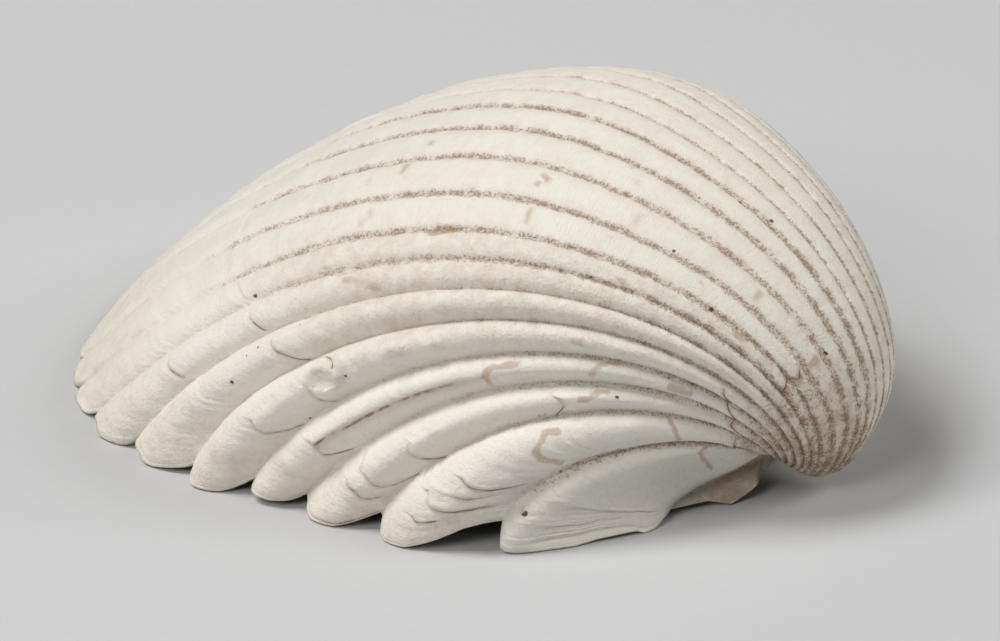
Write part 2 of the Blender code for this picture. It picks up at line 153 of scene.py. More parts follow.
@dataclass(frozen=True)
class Coil:
    """How the valve's outline shrinks, turns and narrows from the margin back to the beak."""

    outline_angles: tuple[float, ...] = (-100, -80, -62, -45, -25, 0, 25, 50, 75, 100)
    outline_reach: tuple[float, ...] = (4.5, 10.3, 29.3, 36.9, 56.1, 68.0, 67.0, 35.9, 20.8, 9.2)
    axis_height: float = 4.13
    shrink_rate: tuple[float, ...] = (0.885, 0.2167, -0.1847, 0.0304)
    width_gain: tuple[float, float] = (0.656, -0.1855)
    side_drift: float = -0.70
    full_turn: float = 232.0
    beak_rounding: float = 34.0
    push_angles: tuple[float, ...] = (-92.0, -85.0, -78.0, -63.4)
    push_turns: tuple[float, ...] = (0, 15, 30, 50, 75, 100, 130, 170, 232)
    push_along: tuple[tuple[float, ...], ...] = (
        (2.1, 2.1, 2.1, 2.0, 2.0, 1.9, 1.7, 0.9, 0.0), (1.0, 1.0, 1.0, 1.1, 1.4, 1.7, 1.7, 0.9, 0.0),
        (0.0, 0.0, 0.1, 0.5, 1.3, 1.8, 1.7, 0.9, 0.0))
    push_down: tuple[tuple[float, ...], ...] = (
        (0.0, 0.0, 0.2, 0.5, 0.9, 1.0, 0.9, 0.4, 0.0), (0.0, 0.1, 0.3, 0.8, 1.2, 1.1, 0.9, 0.4, 0.0),
        (0.2, 0.7, 1.3, 1.6, 1.6, 1.2, 0.9, 0.4, 0.0))

    def shelf_push(self, angle: Array, hinge: Array, turn: Array) -> Array:
        """How far the shelf beside the beak hangs out along the valve and down.

        Args:
            angle: angle of each point.
            hinge: how far along the hinge each point lies, 0 off the hinge.
            turn: turn of each point.

        Returns:
            A shift for each point.
        """
        push = np.zeros(np.shape(turn) + (3,))
        for i, (along, down) in enumerate(zip(self.push_along, self.push_down)):
            share = np.interp(angle, self.push_angles, np.eye(len(self.push_angles))[i])
            if i == 0:
                share = share + hinge
            push[..., 0] += share * smooth_curve(self.push_turns, along, turn)
            push[..., 2] -= share * smooth_curve(self.push_turns, down, turn)
        return push

    def outline_point(self, angle: Array) -> tuple[Array, Array]:
        """Place on the full-grown outline.

        Args:
            angle: angles round the outline.

        Returns:
            Place along the valve and across it, from the hinge axis.
        """
        reach = smooth_curve(self.outline_angles, self.outline_reach, angle)
        turn = np.radians(angle)
        return -reach * np.cos(turn), reach * np.sin(turn)

    def size_at(self, turn: Array) -> Array:
        """Size of the outline at each turn, where 1 is the full-grown margin.

        Args:
            turn: how far back, in degrees.

        Returns:
            The size at each turn.
        """
        t = np.radians(turn)
        power = sum(rate * t**(i + 1) for i, rate in enumerate(self.shrink_rate))
        start = self.full_turn - self.beak_rounding
        tip = np.clip((turn - start) / self.beak_rounding, 0, 1)
        return np.exp(-power) * np.sqrt(1 - tip**2)

    def place(self, x: Array, y: Array, turn: Array) -> Array:
        """Carry a place on the full-grown outline back to where it was at an earlier turn.

        Args:
            x: places along the valve.
            y: places across the valve.
            turn: how far back, in degrees.

        Returns:
            Points with x, y and z last.
        """
        t = np.radians(turn)
        size = self.size_at(turn)
        width = size * np.exp(self.width_gain[0] * t + self.width_gain[1] * t**2)
        along = size * (x * np.cos(t) - self.axis_height * np.sin(t))
        up = size * (-x * np.sin(t) - self.axis_height * np.cos(t)) + self.axis_height
        across = width * y + self.side_drift * (1 - np.exp(-t))
        return np.stack([along, across, up], axis=-1)

    def bare_skin(self, angle: Array, hinge: Array, turn: Array) -> Array:
        """Points of the skin without ribs. The hinge runs straight between its two ends.

        Args:
            angle: angle of each point round the outline.
            hinge: how far along the hinge each point lies, 0 off the hinge.
            turn: turn of each point.

        Returns:
            Points with x, y and z last.
        """
        x, y = self.outline_point(angle)
        x_end, y_end = self.outline_point(np.full_like(angle, self.outline_angles[0]))
        grown = self.place(x + (x_end - x) * hinge, y + (y_end - y) * hinge, turn)
        return grown + self.shelf_push(angle, hinge, turn)

    def skin(self, angle: Array, hinge: Array, turn: Array, relief: Array) -> Array:
        """Points of the skin, raised from the bare skin by a relief.

        Args:
            angle: angle of each point round the outline.
            hinge: how far along the hinge each point lies, 0 off the hinge.
            turn: turn of each point.
            relief: how far each point stands out.

        Returns:
            Points with x, y and z last.
        """
        nudge = 0.2
        along = self.bare_skin(angle, hinge, turn + nudge) - self.bare_skin(angle, hinge, turn - nudge)
        ahead = self.bare_skin(np.minimum(angle + nudge, self.outline_angles[-1]), hinge, turn)
        across = ahead - self.bare_skin(angle - nudge, hinge, turn)
        outward = np.cross(along, across)
        outward /= np.linalg.norm(outward, axis=-1, keepdims=True) + 1e-12
        return self.bare_skin(angle, hinge, turn) + outward * relief[..., None]


@dataclass(frozen=True)
class Ledge:
    """A step on one rib, where the growing edge once drew back.

    A height above 0 lets the older shell stand proud, one below 0 the younger shell.
    """

    row: Age
    rib: int
    height: float
    places: tuple[tuple[float, float], ...]
    fade: float = 0.10


@dataclass(frozen=True)
class Mark:
    """A tan mark on one rib: a line of (across, age) places, its half width and its strength."""

    rib: int
    places: tuple[tuple[float, float], ...]
    half_width: float
    strength: float = 0.6


@dataclass(frozen=True)
class Pit:
    """A boring or a dark grain on one rib."""

    rib: int
    across: float
    age: float
    radius: float
    tone: Tone = Tone.BROWN


@dataclass
class Ribs:
    """The ribs: where their grooves lie and what shape they have across."""

    coil: Coil
    posterior_grooves: tuple[float, ...] = (-78.0, -63.4, -49.8, -41.8, -36.2, -31.0, -26.6, -22.5, -18.3)
    middle_grooves: tuple[float, ...] = (-12.6, -6.2, -0.5, 4.3, 8.4, 12.6, 16.9, 20.6)
    anterior_width: float = 4.6
    anterior_taper: float = 0.965
    anterior_end: float = 86.0
    notch_shifts: tuple[float, ...] = (0.0, -0.9, -0.2, 0.55, -0.6, -1.2, 0.0, 1.3, 2.3, 1.5, 0.8)
    notch_shift_fade: float = 4.5
    posterior_heights: tuple[float, ...] = (1.9, 2.1, 2.3, 2.1, 2.1, 1.7, 1.2, 0.8)
    margin_heights: tuple[float, ...] = (1.95, 1.45, 2.1, 1.5, 1.85, 1.1, 0.9, 0.5)
    margin_rib_age: float = 10.0
    middle_height: float = 0.5
    anterior_height: float = 0.75
    height_power: float = 0.75
    posterior_flatness: tuple[float, ...] = (3.4, 2.1, 2.1, 2.1, 2.1, 2.2, 2.6, 3.2)
    plain_flatness: float = 5.0
    posterior_lean: tuple[float, ...] = (1.0, 1.10, 1.0, 1.15, 1.10, 1.05, 1.0, 1.0)
    face_places: tuple[float, ...] = (0.0, 0.05, 0.13, 0.24, 0.42, 0.62, 0.75, 0.82, 0.90, 1.0)
    face_heights: tuple[float, ...] = (0.0, 0.42, 0.62, 0.48, 0.37, 0.52, 0.82, 1.02, 0.88, 0.0)
    face_share_at_margin: float = 0.25
    face_fade_age: float = 4.0
    swell_ages: tuple[float, ...] = (0, 8, 20, 28, 34, 41, 54, 62, 80, 100, 115, 134, 150, 165, 184, 205, 232)
    swell_heights: tuple[float, ...] = (0.0, -0.2, -0.42, -0.22, 0.0, 0.3, 0.3, 0.0, -0.18, -0.1, 0.0,
                                        0.2, 0.25, 0.05, -0.08, 0.4, 0.3)
    swell_angles: tuple[float, float] = (-30.0, -8.0)
    grooves: Array = field(init=False)
    heights: Array = field(init=False)
    young_heights: Array = field(init=False)
    flatness: Array = field(init=False)
    lean: Array = field(init=False)

    def __post_init__(self) -> None:
        """Lay out the anterior grooves and list every rib's height, flatness and lean."""
        self.grooves = np.array(self.posterior_grooves + self.middle_grooves + self.anterior_grooves())
        count = len(self.grooves) - 1
        posterior = len(self.posterior_heights)
        middle = len(self.middle_grooves)
        rising = np.linspace(self.middle_height, self.anterior_height, count - posterior - middle)
        self.heights = np.concatenate(
            [self.posterior_heights, np.full(middle, self.middle_height), rising])
        self.young_heights = np.concatenate([self.margin_heights, self.heights[posterior:]])
        self.flatness = np.array(
            list(self.posterior_flatness) + [self.plain_flatness] * (count - posterior))
        self.lean = np.array(list(self.posterior_lean) + [1.0] * (count - posterior))

    def anterior_grooves(self) -> tuple[float, ...]:
        """Walk along the outline from the last middle groove, one rib width at a time.

        Returns:
            Their angles, rising.
        """
        grooves: list[float] = []
        angle = self.middle_grooves[-1]
        width = self.anterior_width
        step = 0.05
        while True:
            walked = 0.0
            x, y = self.coil.outline_point(angle)
            while walked < width:
                angle += step
                x_next, y_next = self.coil.outline_point(angle)
                walked += np.hypot(x_next - x, y_next - y)
                x, y = x_next, y_next
            if angle > self.anterior_end:
                return tuple(grooves)
            grooves.append(angle)
            width *= self.anterior_taper

    @property
    def count(self) -> int:
        """How many ribs there are."""
        return len(self.grooves) - 1

    def angle_of(self, rib: int, across: float) -> float:
        """Angle of a place across a rib, 0 at its posterior groove and 1 at the other."""
        return float(self.grooves[rib] + (self.grooves[rib + 1] - self.grooves[rib]) * across)

    def place_on_rib(self, angle: Array) -> tuple[Array, Array]:
        """The rib at each angle, and the place across it.

        Args:
            angle: angle of each point.

        Returns:
            The number of its rib, and how far across it lies, from 0 to 1.
        """
        rib = np.clip(np.searchsorted(self.grooves, angle, side="right") - 1, 0, self.count - 1)
        across = (angle - self.grooves[rib]) / (self.grooves[rib + 1] - self.grooves[rib])
        return rib, np.clip(across, 0, 1)

    def plain_crown(self, angle: Array) -> Array:
        """Plain shape across the ribs: 0 in the grooves and 1 on the crests."""
        rib, across = self.place_on_rib(angle)
        return 1 - np.abs(1 - 2 * across**self.lean[rib])**self.flatness[rib]

    def crown(self, angle: Array, age: Array) -> Array:
        """Shape across all ribs at each angle and age. The rib beside the shelf has its own.

        Args:
            angle: angle of each point.
            age: age of each point.

        Returns:
            Share of the rib's height at each point.
        """
        rib, across = self.place_on_rib(angle)
        plain = self.plain_crown(angle)
        face = np.clip(smooth_curve(self.face_places, self.face_heights, across), 0, None)
        share = np.clip(self.face_share_at_margin + age / self.face_fade_age, 0, 1)
        return np.where(rib == 0, plain + (face - plain) * share, plain)

    def relief(self, angle: Array, turn: Array, age: Array) -> Array:
        """Height of the ribs over the groove floors, with the swell of the whole skin.

        Args:
            angle: angle of each point.
            turn: turn of each point.
            age: age of each point.

        Returns:
            Height of each point over the bare skin.
        """
        rib, _ = self.place_on_rib(angle)
        young = (self.young_heights - self.heights)[rib] * np.exp(-(age / self.margin_rib_age)**2)
        height = self.heights[rib] + young
        share = np.clip((angle - self.swell_angles[0]) / np.ptp(self.swell_angles), 0, 1)
        swell = smooth_curve(self.swell_ages, self.swell_heights, age) * share
        return height * self.crown(angle, age) * self.coil.size_at(turn)**self.height_power + swell

    def bent_angle(self, angle: Array, age: Array) -> Array:
        """Angle at which a column really runs: close to the margin it bends with its groove.

        Args:
            angle: angle of each point.
            age: age of each point.

        Returns:
            The bent angle of each point.
        """
        shifts = np.zeros(len(self.grooves))
        shifts[:len(self.notch_shifts)] = self.notch_shifts
        return angle + np.interp(angle, self.grooves, shifts) * np.exp(-age / self.notch_shift_fade)


@dataclass
class Margin:
    """The free edge of the valve: its notches, worn rib tips and the turn where each point ends."""

    coil: Coil
    ribs: Ribs
    posterior_edges: tuple[tuple[tuple[float, float], ...], ...] = (
        ((0.0, 0.55), (0.06, 0.5), (0.14, 0.05), (0.2, 0.0), (0.25, 0.3), (0.45, 0.25), (0.53, 0.0),
         (0.92, 0.0), (1.0, 2.2)),
        ((0.0, 2.2), (0.1, 2.2), (0.2, 1.95), (0.33, 0.8), (0.42, 0.3), (0.5, 0.0), (0.7, 0.0),
         (0.76, 0.2), (0.84, 0.8), (0.92, 1.35), (1.0, 1.35)),
        ((0.0, 1.35), (0.08, 0.85), (0.17, 0.4), (0.3, 0.0), (0.72, 0.0), (0.84, 0.4), (0.92, 0.95),
         (1.0, 1.15)),
        ((0.0, 1.15), (0.07, 0.7), (0.16, 0.47), (0.42, 0.45), (0.6, 0.55), (0.8, 0.6), (0.92, 0.9),
         (1.0, 1.4)),
        ((0.0, 1.4), (0.08, 0.8), (0.17, 0.25), (0.25, 0.0), (0.66, 0.0), (0.75, 0.15), (0.85, 0.4),
         (1.0, 1.1)),
        ((0.0, 1.1), (0.08, 0.5), (0.2, 0.28), (0.38, 0.0), (0.5, 0.0), (0.58, 0.2), (0.7, 0.55),
         (1.0, 1.0)),
        ((0.0, 1.0), (0.07, 0.1), (0.12, 0.0), (0.45, 0.0), (0.55, 0.25), (0.67, 0.6), (1.0, 0.7)),
        ((0.0, 0.7), (0.15, 0.1), (0.3, 0.0), (0.7, 0.0), (1.0, 0.6)))
    plain_notch: float = 0.5
    tip_wear: float = 1.18
    hinge_rise: float = 1.6
    search_turns: tuple[float, float] = (-14.0, 40.0)
    halvings: int = 40
    shelf_angles: tuple[float, ...] = (-100, -92, -85, -82, -78)
    shelf_heights: tuple[float, ...] = (2.3, 1.15, 0.1, 0.6, 0.55)

    def height(self, angle: Array, hinge: Array) -> Array:
        """Height of the margin over the floor at each place round it.

        Args:
            angle: angle of each place.
            hinge: how far along the hinge it lies.

        Returns:
            Its height over the floor.
        """
        grooves = self.ribs.grooves
        edge = self.plain_notch * np.clip(1 - self.tip_wear * self.ribs.plain_crown(angle), 0, 1)
        rib, across = self.ribs.place_on_rib(angle)
        for i, points in enumerate(self.posterior_edges):
            places, heights = zip(*points)
            edge = np.where(rib == i, np.interp(across, places, heights), edge)
        shelf = np.interp(angle, self.shelf_angles, self.shelf_heights)
        lunule = np.interp(angle, (grooves[-1], 100), (self.plain_notch, self.hinge_rise))
        edge = np.where(angle < grooves[0], shelf, np.where(angle > grooves[-1], lunule, edge))
        return np.where(hinge > 0, self.hinge_rise + (self.shelf_heights[0] - self.hinge_rise) * hinge, edge)

    def start_turn(self, angle: Array, hinge: Array, height: Array) -> Array:
        """The turn at which the skin comes down to the margin's height, by halving.

        Args:
            angle: angle of each place.
            hinge: how far along the hinge it lies.
            height: the margin's height there.

        Returns:
            The turn of each place.
        """
        ribbed = (angle > self.ribs.grooves[0]) & (angle < self.ribs.grooves[-1]) & (hinge == 0)
        low, high = (np.full_like(angle, turn) for turn in self.search_turns)
        for _ in range(self.halvings):
            middle = (low + high) / 2
            relief = np.where(ribbed, self.ribs.relief(angle, middle, np.zeros_like(angle)), 0)
            above = self.coil.skin(self.ribs.bent_angle(angle, 0), hinge, middle, relief)[:, 2] > height
            high = np.where(above, middle, high)
            low = np.where(above, low, middle)
        return (low + high) / 2


# Ribs are numbered from the posterior side: 0 is the rib beside the shelf and 8 is the first of
# the broad, flat ribs on top of the valve. Places are (across, age).
LEDGES = (
    Ledge(Age.MAIN, 2, 0.42, ((0.0, 10.5), (0.05, 8.3), (0.12, 7.8), (0.22, 8.4), (0.34, 9.3),
                              (0.47, 9.8), (0.60, 10.3), (0.72, 11.2), (0.84, 12.2))),
    Ledge(Age.YOUNG, 2, 0.14, ((0.08, 5.0), (0.17, 5.2), (0.25, 5.6), (0.33, 6.3), (0.50, 7.0),
                               (0.68, 8.0))),
    Ledge(Age.OLD, 2, 0.32, ((0.0, 16.6), (0.05, 15.8), (0.12, 16.0), (0.25, 16.8), (0.38, 17.8),
                             (0.50, 19.0))),
    Ledge(Age.MAIN, 1, 0.42, ((0.18, 7.0), (0.25, 7.9), (0.33, 8.5), (0.42, 9.4), (0.48, 10.1),
                              (0.54, 11.0), (0.59, 12.1), (0.63, 13.4))),
    Ledge(Age.YOUNG, 1, 0.20, ((0.38, 6.2), (0.43, 6.1), (0.48, 6.1), (0.54, 6.6), (0.58, 7.3))),
    Ledge(Age.LATE, 1, 0.16, ((0.27, 12.4), (0.33, 12.8), (0.42, 14.2))),
    Ledge(Age.OLD, 1, 0.36, ((0.14, 17.2), (0.21, 15.8), (0.27, 15.8), (0.33, 16.7), (0.40, 17.4),
                             (0.46, 18.5), (0.51, 19.6))),
    Ledge(Age.MAIN, 3, 0.38, ((0.10, 10.4), (0.17, 9.8), (0.22, 9.3), (0.29, 9.1), (0.42, 9.7),
                              (0.63, 10.2))),
    Ledge(Age.MAIN, 4, 0.36, ((0.03, 9.6), (0.08, 8.2), (0.17, 8.4), (0.25, 9.0), (0.33, 9.2),
                              (0.50, 10.2))),
    Ledge(Age.LATE, 4, 0.24, ((0.04, 15.6), (0.17, 16.3), (0.25, 16.9), (0.35, 17.5))),
    Ledge(Age.OLD, 5, 0.40, ((0.04, 16.9), (0.10, 16.8), (0.21, 17.1), (0.33, 17.8), (0.46, 18.2),
                             (0.67, 18.3))),
    Ledge(Age.MAIN, 6, 0.32, ((0.15, 8.8), (0.29, 8.8), (0.42, 8.8), (0.62, 9.2))),
    Ledge(Age.OLD, 4, 0.16, ((0.55, 22.0), (0.75, 22.5), (0.92, 21.0))),
    Ledge(Age.OLD, 6, 0.14, ((0.05, 17.4), (0.20, 17.4), (0.50, 17.6))),
    Ledge(Age.OLD, 7, 0.12, ((0.1, 14.5), (0.5, 16.0), (0.8, 17.5))),
    Ledge(Age.HALF_GROWN, 2, 0.20, ((0.02, 44.0), (0.2, 49.0), (0.46, 50.0), (0.6, 49.0))),
    Ledge(Age.MAIN, 0, 0.16, ((0.50, 9.6), (0.58, 9.8), (0.67, 10.1), (0.75, 10.8), (0.82, 12.4))),
    Ledge(Age.OLD, 0, 0.22, ((0.20, 17.5), (0.27, 15.5), (0.37, 15.7), (0.50, 17.8), (0.67, 20.6),
                             (0.82, 23.0))),
    Ledge(Age.JUVENILE, 1, -0.22, ((0.3, 134.0), (0.71, 131.0), (0.83, 131.0), (1.0, 136.0)), 0.2),
    Ledge(Age.JUVENILE, 2, -0.26, ((0.1, 134.0), (0.35, 129.0), (0.62, 121.0), (0.94, 121.0))),
    Ledge(Age.JUVENILE, 3, -0.22, ((0.0, 122.0), (0.42, 118.0), (0.67, 115.0), (1.0, 112.0)), 0.2),
    Ledge(Age.JUVENILE, 4, -0.16, ((0.1, 113.0), (0.4, 110.0), (0.7, 109.0))),
    Ledge(Age.JUVENILE, 7, -0.14, ((0.05, 131.5), (0.17, 131.0), (0.5, 130.0), (0.92, 127.0))),
    Ledge(Age.JUVENILE, 8, -0.16, ((0.08, 128.0), (0.37, 131.0), (0.7, 128.0))),
)

CHEVRONS = (
    Mark(1, ((0.67, 45.0), (0.71, 42.0), (0.58, 39.9), (0.46, 36.4), (0.33, 33.6), (0.25, 32.5),
             (0.17, 32.2)), 0.34, 0.85),
    Mark(3, ((0.75, 46.0), (0.71, 43.0), (0.67, 41.0), (0.58, 39.5), (0.42, 38.1), (0.17, 37.4)), 0.36, 0.9),
    Mark(3, ((0.98, 69.0), (0.92, 67.0), (0.79, 64.0), (0.58, 62.0), (0.42, 61.0)), 0.32, 0.7),
    Mark(2, ((0.79, 63.0), (0.79, 61.0), (0.62, 59.0), (0.46, 57.0), (0.50, 55.0)), 0.32, 0.75),
    Mark(3, ((0.54, 86.0), (0.54, 90.0), (0.63, 94.0)), 0.42, 0.85),
    Mark(1, ((0.92, 82.0), (0.75, 85.0), (0.58, 87.0), (0.25, 85.0)), 0.26, 0.85),
    Mark(0, ((0.88, 100.0), (0.79, 92.0), (0.58, 85.0), (0.46, 80.0), (0.29, 76.0)), 0.26, 0.85),
)

CRACKS = (
    Mark(4, ((0.38, 19.0), (0.39, 19.8), (0.36, 20.4), (0.33, 21.2), (0.33, 22.2)), 0.10),
    Mark(4, ((0.62, 18.6), (0.68, 19.6), (0.66, 21.2)), 0.05),
    Mark(4, ((0.42, 29.3), (0.46, 30.2), (0.42, 31.0)), 0.08),
    Mark(7, ((0.98, 43.8), (0.90, 42.6), (0.78, 42.8), (0.68, 43.8)), 0.05),
)

BARS = (
    Mark(9, ((0.83, 34.3), (0.42, 35.0)), 0.28, 0.5),
    Mark(9, ((0.62, 30.8), (0.42, 30.8)), 0.30, 0.25),
    Mark(9, ((0.62, 24.1), (0.29, 24.5)), 0.26, 0.35),
    Mark(9, ((0.71, 52.0), (0.62, 53.2), (0.36, 51.6)), 0.28, 0.55),
    Mark(9, ((0.62, 65.0), (0.5, 65.2)), 0.26, 0.3),
    Mark(9, ((0.67, 69.0), (0.29, 69.0)), 0.26, 0.3),
    Mark(9, ((0.62, 101.0), (0.30, 101.5)), 0.30, 0.5),
    Mark(9, ((0.62, 129.0), (0.3, 129.5)), 0.32, 0.6),
    Mark(10, ((0.88, 34.3), (0.42, 35.3)), 0.22, 0.4),
    Mark(10, ((0.83, 30.4), (0.33, 30.4)), 0.24, 0.4),
    Mark(10, ((0.55, 64.0), (0.45, 64.0)), 0.22, 0.3),
    Mark(10, ((0.40, 90.0), (0.20, 90.0)), 0.24, 0.3),
    Mark(11, ((0.75, 33.6), (0.45, 33.8)), 0.22, 0.3),
    Mark(8, ((0.62, 32.5), (0.29, 32.2)), 0.34, 0.45),
    Mark(8, ((0.45, 27.3), (0.35, 27.3)), 0.24, 0.25),
    Mark(8, ((0.75, 53.0), (0.37, 53.0)), 0.34, 0.42),
    Mark(8, ((0.67, 66.0), (0.33, 66.0)), 0.28, 0.35),
    Mark(8, ((0.67, 75.0), (0.29, 75.0)), 0.28, 0.35),
    Mark(8, ((0.65, 87.0), (0.40, 87.0)), 0.30, 0.35),
    Mark(8, ((0.08, 130.0), (0.25, 132.5), (0.46, 130.5)), 0.30, 0.8),
    Mark(7, ((0.50, 61.0), (0.08, 60.0)), 0.40, 0.35),
    Mark(7, ((0.37, 72.0), (0.10, 70.5)), 0.26, 0.5),
    Mark(7, ((0.25, 28.0), (0.04, 26.2)), 0.26, 0.45),
    Mark(7, ((0.10, 131.0), (0.45, 132.0)), 0.28, 0.7),
    Mark(7, ((0.85, 127.0), (0.97, 128.5)), 0.26, 0.7),
    Mark(7, ((0.88, 40.8), (0.97, 42.0)), 0.50, 1.0),
    Mark(6, ((0.60, 29.5), (0.40, 31.5), (0.20, 33.0)), 0.36, 0.4),
    Mark(7, ((0.66, 103.0), (0.68, 105.0)), 0.30, 0.7),
    Mark(4, ((0.54, 61.0), (0.50, 63.0)), 0.30, 0.4),
)

PITS = (
    Pit(0, 0.92, 15.4, 0.33, Tone.RED_BROWN),
    Pit(2, 0.54, 66.0, 0.15, Tone.BLACK),
    Pit(2, 0.62, 65.8, 0.21, Tone.BLACK),
    Pit(7, 0.12, 19.2, 0.26, Tone.BROWN),
    Pit(7, 0.08, 14.0, 0.11, Tone.BROWN),
    Pit(5, 0.83, 21.7, 0.15, Tone.BLACK),
    Pit(5, 0.33, 12.2, 0.20, Tone.RED_BROWN),
    Pit(5, 0.67, 16.8, 0.14, Tone.RED_BROWN),
    Pit(5, 0.63, 15.4, 0.10, Tone.BROWN),
    Pit(11, 0.08, 74.0, 0.16, Tone.BROWN),
    Pit(11, 0.96, 80.0, 0.24, Tone.BROWN),
    Pit(12, 0.21, 88.0, 0.24, Tone.BROWN),
    Pit(7, 0.04, 65.0, 0.17, Tone.BROWN),
    Pit(9, 0.13, 78.0, 0.24, Tone.BROWN),
    Pit(10, 0.14, 128.4, 0.20, Tone.BLACK),
    Pit(10, 0.19, 129.1, 0.20, Tone.BLACK),
    Pit(4, 0.34, 22.2, 0.14, Tone.BLACK),
    Pit(4, 0.02, 11.2, 0.13, Tone.BROWN),
    Pit(1, 0.02, 26.2, 0.14, Tone.BROWN),
    Pit(1, 0.46, 15.0, 0.11, Tone.BROWN),
    Pit(8, 0.02, 93.0, 0.24, Tone.BROWN),
    Pit(0, 0.79, 44.0, 0.13, Tone.BROWN),
)


@dataclass(frozen=True)
class Bump:
    """A low round bump on one rib."""

    rib: int
    across: float
    age: float
    height: float
    width: float


BUMPS = (
    Bump(4, 0.54, 30.4, 0.30, 0.7),
    Bump(4, 0.46, 35.7, 0.22, 0.6),
    Bump(4, 0.83, 80.0, 0.22, 0.5),
    Bump(2, 0.75, 85.0, 0.22, 0.5),
    Bump(1, 0.58, 67.0, 0.24, 0.7),
    Bump(3, 0.66, 72.0, 0.12, 0.5),
)


@dataclass(frozen=True)
class Wave:
    """One train of low growth lines: its height and rate, and how that rate wobbles.

    The two shifts say how much of each rib's own shift the wobble and the wave take.
    """

    height: float
    rate: float
    wobble: float
    wobble_rate: float
    wobble_shift: int
    shift: int


WAVES = (
    Wave(0.030, 2.9, 1.7, 0.83, 1, 1),
    Wave(0.022, 5.3, 2.1, 1.31, 2, 0),
    Wave(0.035, 1.13, 1.3, 0.37, 1, 2),
)


@dataclass(frozen=True)
class Patch:
    """A stretch of angles and ages with soft ends, where dust or grime lies.

    Outside its angles a share of it stays, which is the floor.
    """

    strength: float
    angles: tuple[float, float, float, float]
    ages: tuple[float, float, float, float]
    floor: float = 0.0

    def at(self, angle: Array, age: Array) -> Array:
        """How strong it is at each point."""
        sideways = self.floor + (1 - self.floor) * soft_window(self.angles, angle)
        return self.strength * sideways * soft_window(self.ages, age)


ANY_AGE = (-2.0, -1.0, 300.0, 301.0)
ON_SHELF = (-201.0, -200.0, -82.0, -77.0)
UP_TO_MIDDLE = (-201.0, -200.0, -20.0, 10.0)
DUST_PATCHES = (
    Patch(0.15, (-37.0, -33.0, -22.0, -17.0), (18.0, 34.0, 100.0, 130.0)),
    Patch(0.42, UP_TO_MIDDLE, (100.0, 150.0, 300.0, 301.0), 0.45),
    Patch(0.22, ON_SHELF, ANY_AGE),
)
GRIME_PATCHES = (
    Patch(0.38, (-65.4, -61.4, 60.0, 90.0), (-2.0, -1.0, 3.0, 15.0)),
    Patch(0.42, (-37.0, -31.0, -20.0, -13.0), (12.0, 26.0, 110.0, 140.0)),
    Patch(0.95, UP_TO_MIDDLE, (105.0, 165.0, 300.0, 301.0), 0.5),
    Patch(1.0, ON_SHELF, ANY_AGE),
)


@dataclass(frozen=True)
class DustGroup:
    """Brown dust in a run of grooves: the last groove, its width in mm and its strength by age."""

    last_groove: int
    width: float
    ages: tuple[float, ...]
    strengths: tuple[float, ...]


DUST_GROUPS = (
    DustGroup(0, 1.0, (0, 10, 30, 60, 120), (0.1, 0.4, 0.8, 0.9, 1.0)),
    DustGroup(1, 1.3, (0, 8, 16, 30, 60, 100, 140), (0.05, 0.15, 0.3, 0.55, 0.65, 0.75, 1.0)),
    DustGroup(4, 1.0, (0, 10, 20, 40, 70, 120, 160), (0.05, 0.15, 0.2, 0.35, 0.5, 0.8, 1.0)),
    DustGroup(6, 0.9, (0, 12, 25, 40, 60, 110, 160), (0.05, 0.12, 0.2, 0.3, 0.4, 0.7, 1.0)),
    DustGroup(7, 1.0, (0, 12, 25, 40, 60, 110, 160), (0.05, 0.15, 0.35, 0.6, 0.7, 0.85, 1.0)),
    DustGroup(12, 0.85, (0, 12, 20, 45, 90, 120, 160, 220), (0.0, 0.15, 0.6, 0.85, 0.8, 0.85, 0.95, 1.0)),
    DustGroup(99, 0.5, (0, 15, 25, 45, 90, 120, 160, 220), (0.0, 0.1, 0.4, 0.6, 0.7, 0.75, 0.85, 1.0)),
)


